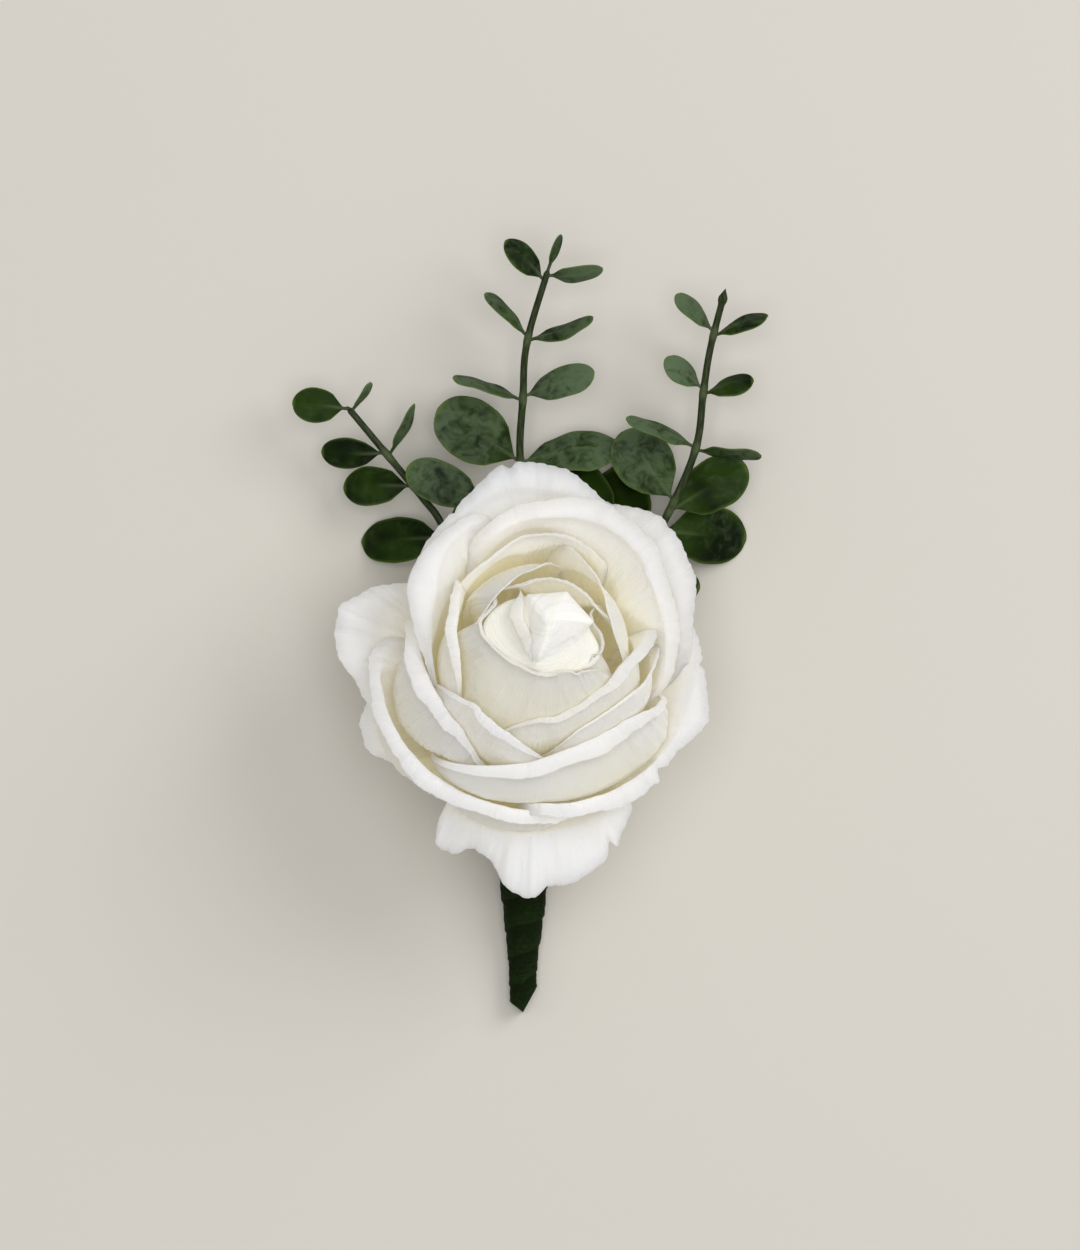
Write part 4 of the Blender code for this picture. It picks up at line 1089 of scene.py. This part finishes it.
def add_tape(tape):
    """The wrap: rings around the stem's axis, from inside its open top out and down to the cut.

    The radius follows TAPE_RADII, less the wall on the inside and plus the relief on the outside.
    The last rings close the cut end, which is drawn back at its sides.
    """
    rings, sides = TAPE_CELLS
    cut = len(TAPE_CUT)
    turn = np.arange(sides) * 2 * np.pi / sides
    outside = np.linspace(0, 1, rings)
    inside = np.linspace(TAPE_INSIDE[0], 0, TAPE_INSIDE[1])
    places = np.concatenate([inside, outside, np.ones(cut)])[:, None]
    radii = through(TAPE_RADII, places[:, 0])[:, None]
    down = places * (TAPE_TOP[1] - TAPE_END[1])
    relief, edge = tape_relief(turn, down, tape)
    reach = radii + relief
    reach[:len(inside)] = radii[:len(inside)] - TAPE_WALL
    closing = np.array(TAPE_CUT)[:, None]
    reach[-cut:] = reach[-cut - 1:-cut] * closing
    slant = np.where(np.cos(turn) > 0, *TAPE_SLANT) * np.abs(np.cos(turn)) ** 0.9
    pull = slant[None, :] * places ** TAPE_SLANT_POWER
    pull[-cut:] = pull[-cut:] * closing
    x = TAPE_TOP[0] + (TAPE_END[0] - TAPE_TOP[0]) * places + reach * np.cos(turn)
    y = TAPE_TOP[1] - down + pull
    z = radii + reach * np.sin(turn)
    vertices, faces = tube_mesh(np.stack([x, y, np.maximum(z, 0.0)], axis=2))
    outer = np.zeros_like(places)
    outer[len(inside):] = 1.0
    attributes = {"around": radii * turn, "rise": down + 0 * turn, "edge": edge * outer}
    add_piece("florist_tape", ["tape_wrap"], vertices, faces, tape_material(tape),
              attributes)


def add_floor(stage):
    """The ground: a flat square grid, just under the boutonniere."""
    half = stage.floor_size / 2
    steps = np.linspace(-half, half, GROUND_CELLS + 1)
    x, y = np.meshgrid(steps, steps, indexing="ij")
    points = np.stack([x, y, np.full_like(x, -GROUND_DROP)], axis=2)
    mesh = bpy.data.meshes.new("ground")
    mesh.from_pydata(points.reshape(-1, 3).tolist(), [], grid_faces(*x.shape).tolist())
    mesh.materials.append(floor_material(stage))
    floor = bpy.data.objects.new("ground", mesh)
    bpy.context.scene.collection.objects.link(floor)


def add_light(name, place, size, power, colour):
    """A square area light, aimed at the middle of the flower and unseen by the camera."""
    data = bpy.data.lights.new(name, "AREA")
    data.shape = "SQUARE"
    data.size = size
    data.energy = power
    data.color = colour
    light = bpy.data.objects.new(name, data)
    light.visible_camera = False
    light.location = place
    aim = Vector(LIGHT_AIM) - Vector(place)
    light.rotation_euler = aim.to_track_quat("-Z", "Y").to_euler()
    bpy.context.scene.collection.objects.link(light)


def add_camera(stage):
    """A long lens straight above, as the flower is looked at from far off."""
    data = bpy.data.cameras.new("camera")
    data.sensor_fit = "VERTICAL"
    data.sensor_height = SENSOR
    data.lens = stage.lens
    data.clip_start, data.clip_end = CAMERA_REACH
    camera = bpy.data.objects.new("camera", data)
    camera.location = (*CAMERA_PLACE, stage.camera_height)
    bpy.context.scene.collection.objects.link(camera)
    bpy.context.scene.camera = camera


def set_world(stage):
    """Even light from all round, and plain colours without a film look."""
    scene = bpy.context.scene
    scene.world = bpy.data.worlds.new("room")
    scene.world.use_nodes = True
    background = scene.world.node_tree.nodes["Background"]
    background.inputs["Color"].default_value = rgba(stage.room_colour)
    background.inputs["Strength"].default_value = stage.room_strength
    scene.view_settings.view_transform = "Standard"


class RoseSettings(bpy.types.PropertyGroup):
    lip_colour: bpy.props.FloatVectorProperty(
        name="Lip colour", description="Colour of a petal's rolled lip", subtype="COLOR", size=3,
        min=0.0, max=1.0, default=(0.95, 0.938, 0.918))
    # Depth colour: partly the petals' own cream foot, partly painted warm shade of the hollows.
    depth_colour: bpy.props.FloatVectorProperty(
        name="Depth colour", description="Colour of a petal towards its foot", subtype="COLOR",
        size=3, min=0.0, max=1.0, default=(0.925, 0.88, 0.70))
    # Painted light: the two glows are an emission that lifts the petals' shade, weak on the lips and
    # stronger towards the foot.
    lip_painted_glow: bpy.props.FloatVectorProperty(
        name="Lip glow", description="Light that a thin lip passes on from behind",
        subtype="COLOR", size=3, min=0.0, max=1.0, default=(0.032, 0.0312, 0.0298))
    depth_painted_glow: bpy.props.FloatVectorProperty(
        name="Depth glow", description="Light that reaches a petal's foot through its neighbours",
        subtype="COLOR", size=3, min=0.0, max=1.0, default=(0.064, 0.055, 0.029))
    petal_thickness: bpy.props.FloatProperty(
        name="Petal thickness", description="Thickness of a petal away from its edge",
        unit="LENGTH", min=0.0001, max=0.001, default=0.00024)
    fray: bpy.props.FloatProperty(
        name="Fray", description="How far the petals' edges are frayed", unit="LENGTH",
        min=0.0, max=0.001, default=0.0001)
    flutter: bpy.props.FloatProperty(
        name="Flutter", description="How strongly the petals' edges ripple, 1 as made",
        subtype="FACTOR", min=0.0, max=2.0, default=1.0)


class GreenerySettings(bpy.types.PropertyGroup):
    leaf_dark: bpy.props.FloatVectorProperty(
        name="Leaf dark", description="Darkest green of a leaf", subtype="COLOR", size=3,
        min=0.0, max=1.0, default=(0.003, 0.008, 0.0015))
    leaf_green: bpy.props.FloatVectorProperty(
        name="Leaf green", description="Lighter green of a leaf's body", subtype="COLOR", size=3,
        min=0.0, max=1.0, default=(0.018, 0.042, 0.003))
    leaf_bloom: bpy.props.FloatVectorProperty(
        name="Leaf bloom", description="Pale bloom that clouds the leaves", subtype="COLOR",
        size=3, min=0.0, max=1.0, default=(0.10, 0.148, 0.08))
    # Painted highlight: the rim colour lightens each leaf's margin.
    rim_highlight_colour: bpy.props.FloatVectorProperty(
        name="Rim", description="Colour of a leaf's rim", subtype="COLOR", size=3,
        min=0.0, max=1.0, default=(0.11, 0.17, 0.03))
    midrib_colour: bpy.props.FloatVectorProperty(
        name="Midrib", description="Colour of midribs and of the stems' joints", subtype="COLOR",
        size=3, min=0.0, max=1.0, default=(0.13, 0.17, 0.08))
    stem_dark: bpy.props.FloatVectorProperty(
        name="Stem dark", description="Dark streaks of the stems", subtype="COLOR", size=3,
        min=0.0, max=1.0, default=(0.004, 0.007, 0.002))
    stem_green: bpy.props.FloatVectorProperty(
        name="Stem green", description="Green of the stems", subtype="COLOR", size=3,
        min=0.0, max=1.0, default=(0.032, 0.05, 0.013))
    calyx_green: bpy.props.FloatVectorProperty(
        name="Calyx green", description="Green of the calyx", subtype="COLOR", size=3,
        min=0.0, max=1.0, default=(0.07, 0.15, 0.04))
    leaf_thickness: bpy.props.FloatProperty(
        name="Leaf thickness", description="Thickness of a leaf's blade", unit="LENGTH",
        min=0.0001, max=0.001, default=0.00034)


class TapeSettings(bpy.types.PropertyGroup):
    tape_dark: bpy.props.FloatVectorProperty(
        name="Tape dark", description="Colour of the tape", subtype="COLOR", size=3,
        min=0.0, max=1.0, default=(0.005, 0.0105, 0.002))
    # Tape crinkle colour: the paler green where crinkles stand up and laps rise to their edges.
    tape_crinkle_colour: bpy.props.FloatVectorProperty(
        name="Tape worn", description="Colour of its crinkles and laps", subtype="COLOR", size=3,
        min=0.0, max=1.0, default=(0.012, 0.027, 0.006))
    lap_pitch: bpy.props.FloatProperty(
        name="Lap pitch", description="How far the tape advances in one turn", unit="LENGTH",
        min=0.002, max=0.02, default=0.0058)
    lap_step: bpy.props.FloatProperty(
        name="Lap step", description="How far one lap stands over the next", unit="LENGTH",
        min=0.0, max=0.001, default=0.00028)


class StageSettings(bpy.types.PropertyGroup):
    floor_colour: bpy.props.FloatVectorProperty(
        name="Ground colour", description="Colour of the ground", subtype="COLOR", size=3,
        min=0.0, max=1.0, default=(0.67, 0.65, 0.60))
    floor_size: bpy.props.FloatProperty(
        name="Ground size", description="Side of the square ground", unit="LENGTH",
        min=1.0, max=50.0, default=12.0)
    room_colour: bpy.props.FloatVectorProperty(
        name="Room colour", description="Colour of the light from all round", subtype="COLOR",
        size=3, min=0.0, max=1.0, default=(1.0, 0.985, 0.965))
    room_strength: bpy.props.FloatProperty(
        name="Room strength", description="Strength of the light from all round", min=0.0,
        max=5.0, default=0.43)
    key_power: bpy.props.FloatProperty(
        name="Key power", description="Power of the main light", unit="POWER", min=0.0,
        max=200.0, default=8.6)
    overhead_power: bpy.props.FloatProperty(
        name="Overhead power", description="Power of the broad light above", unit="POWER",
        min=0.0, max=200.0, default=9.3)
    lens: bpy.props.FloatProperty(
        name="Lens", description="Focal length of the camera", unit="CAMERA", min=20.0,
        max=600.0, default=300.0)
    camera_height: bpy.props.FloatProperty(
        name="Camera height", description="Height of the camera over the ground", unit="LENGTH",
        min=0.1, max=10.0, default=2.063)


class BOUTONNIERE_OT_petals(bpy.types.Operator):
    """Add the rose's petals and its closed heart"""
    bl_idname = "boutonniere.petals"
    bl_label = "Add Petals"

    def execute(self, context):
        add_petals(context.scene.boutonniere_rose)
        return {"FINISHED"}


class BOUTONNIERE_OT_calyx(bpy.types.Operator):
    """Add the rose's calyx and its stem"""
    bl_idname = "boutonniere.calyx"
    bl_label = "Add Calyx and Rose Stem"

    def execute(self, context):
        greenery = context.scene.boutonniere_greenery
        add_calyx(greenery)
        add_rose_stem(greenery)
        return {"FINISHED"}


class BOUTONNIERE_OT_sprigs(bpy.types.Operator):
    """Add the three eucalyptus stems"""
    bl_idname = "boutonniere.sprigs"
    bl_label = "Add Sprigs"

    def execute(self, context):
        add_sprigs(context.scene.boutonniere_greenery)
        return {"FINISHED"}


class BOUTONNIERE_OT_leaves(bpy.types.Operator):
    """Add the eucalyptus leaves"""
    bl_idname = "boutonniere.leaves"
    bl_label = "Add Leaves"

    def execute(self, context):
        add_leaves(context.scene.boutonniere_greenery)
        return {"FINISHED"}


class BOUTONNIERE_OT_tape(bpy.types.Operator):
    """Add the florist's tape around the stems"""
    bl_idname = "boutonniere.tape"
    bl_label = "Add Tape"

    def execute(self, context):
        add_tape(context.scene.boutonniere_tape)
        return {"FINISHED"}


class BOUTONNIERE_OT_stage(bpy.types.Operator):
    """Add the ground, the lights and the camera"""
    bl_idname = "boutonniere.stage"
    bl_label = "Add Stage"

    def execute(self, context):
        stage = context.scene.boutonniere_stage
        add_floor(stage)
        set_world(stage)
        add_light("key", KEY_PLACE, KEY_SIZE, stage.key_power, KEY_COLOUR)
        add_light("overhead", OVERHEAD_PLACE, OVERHEAD_SIZE, stage.overhead_power,
                  OVERHEAD_COLOUR)
        add_camera(stage)
        return {"FINISHED"}


class BOUTONNIERE_PT_panel(bpy.types.Panel):
    """The boutonniere's pieces and settings"""
    bl_label = "Boutonniere"
    bl_idname = "BOUTONNIERE_PT_panel"
    bl_space_type = "VIEW_3D"
    bl_region_type = "UI"
    bl_category = "Boutonniere"

    def draw(self, context):
        for group in SETTINGS:
            box = self.layout.box()
            settings = getattr(context.scene, group)
            for name in settings.bl_rna.properties.keys():
                if name not in ("rna_type", "name"):
                    box.prop(settings, name)
        for operator in OPERATORS:
            self.layout.operator(operator.bl_idname)


SETTINGS = {
    "boutonniere_rose": RoseSettings,
    "boutonniere_greenery": GreenerySettings,
    "boutonniere_tape": TapeSettings,
    "boutonniere_stage": StageSettings,
}
OPERATORS = (
    BOUTONNIERE_OT_petals,
    BOUTONNIERE_OT_calyx,
    BOUTONNIERE_OT_sprigs,
    BOUTONNIERE_OT_leaves,
    BOUTONNIERE_OT_tape,
    BOUTONNIERE_OT_stage,
)


def register():
    for group, settings in SETTINGS.items():
        bpy.utils.register_class(settings)
        setattr(bpy.types.Scene, group, bpy.props.PointerProperty(type=settings))
    for made in (*OPERATORS, BOUTONNIERE_PT_panel):
        bpy.utils.register_class(made)


def unregister():
    for made in reversed((*OPERATORS, BOUTONNIERE_PT_panel)):
        bpy.utils.unregister_class(made)
    for group, settings in SETTINGS.items():
        delattr(bpy.types.Scene, group)
        bpy.utils.unregister_class(settings)


def main():
    """Builds everything."""
    register()
    bpy.ops.boutonniere.petals()
    bpy.ops.boutonniere.calyx()
    bpy.ops.boutonniere.sprigs()
    bpy.ops.boutonniere.leaves()
    bpy.ops.boutonniere.tape()
    bpy.ops.boutonniere.stage()


if __name__ == "__main__":
    main()
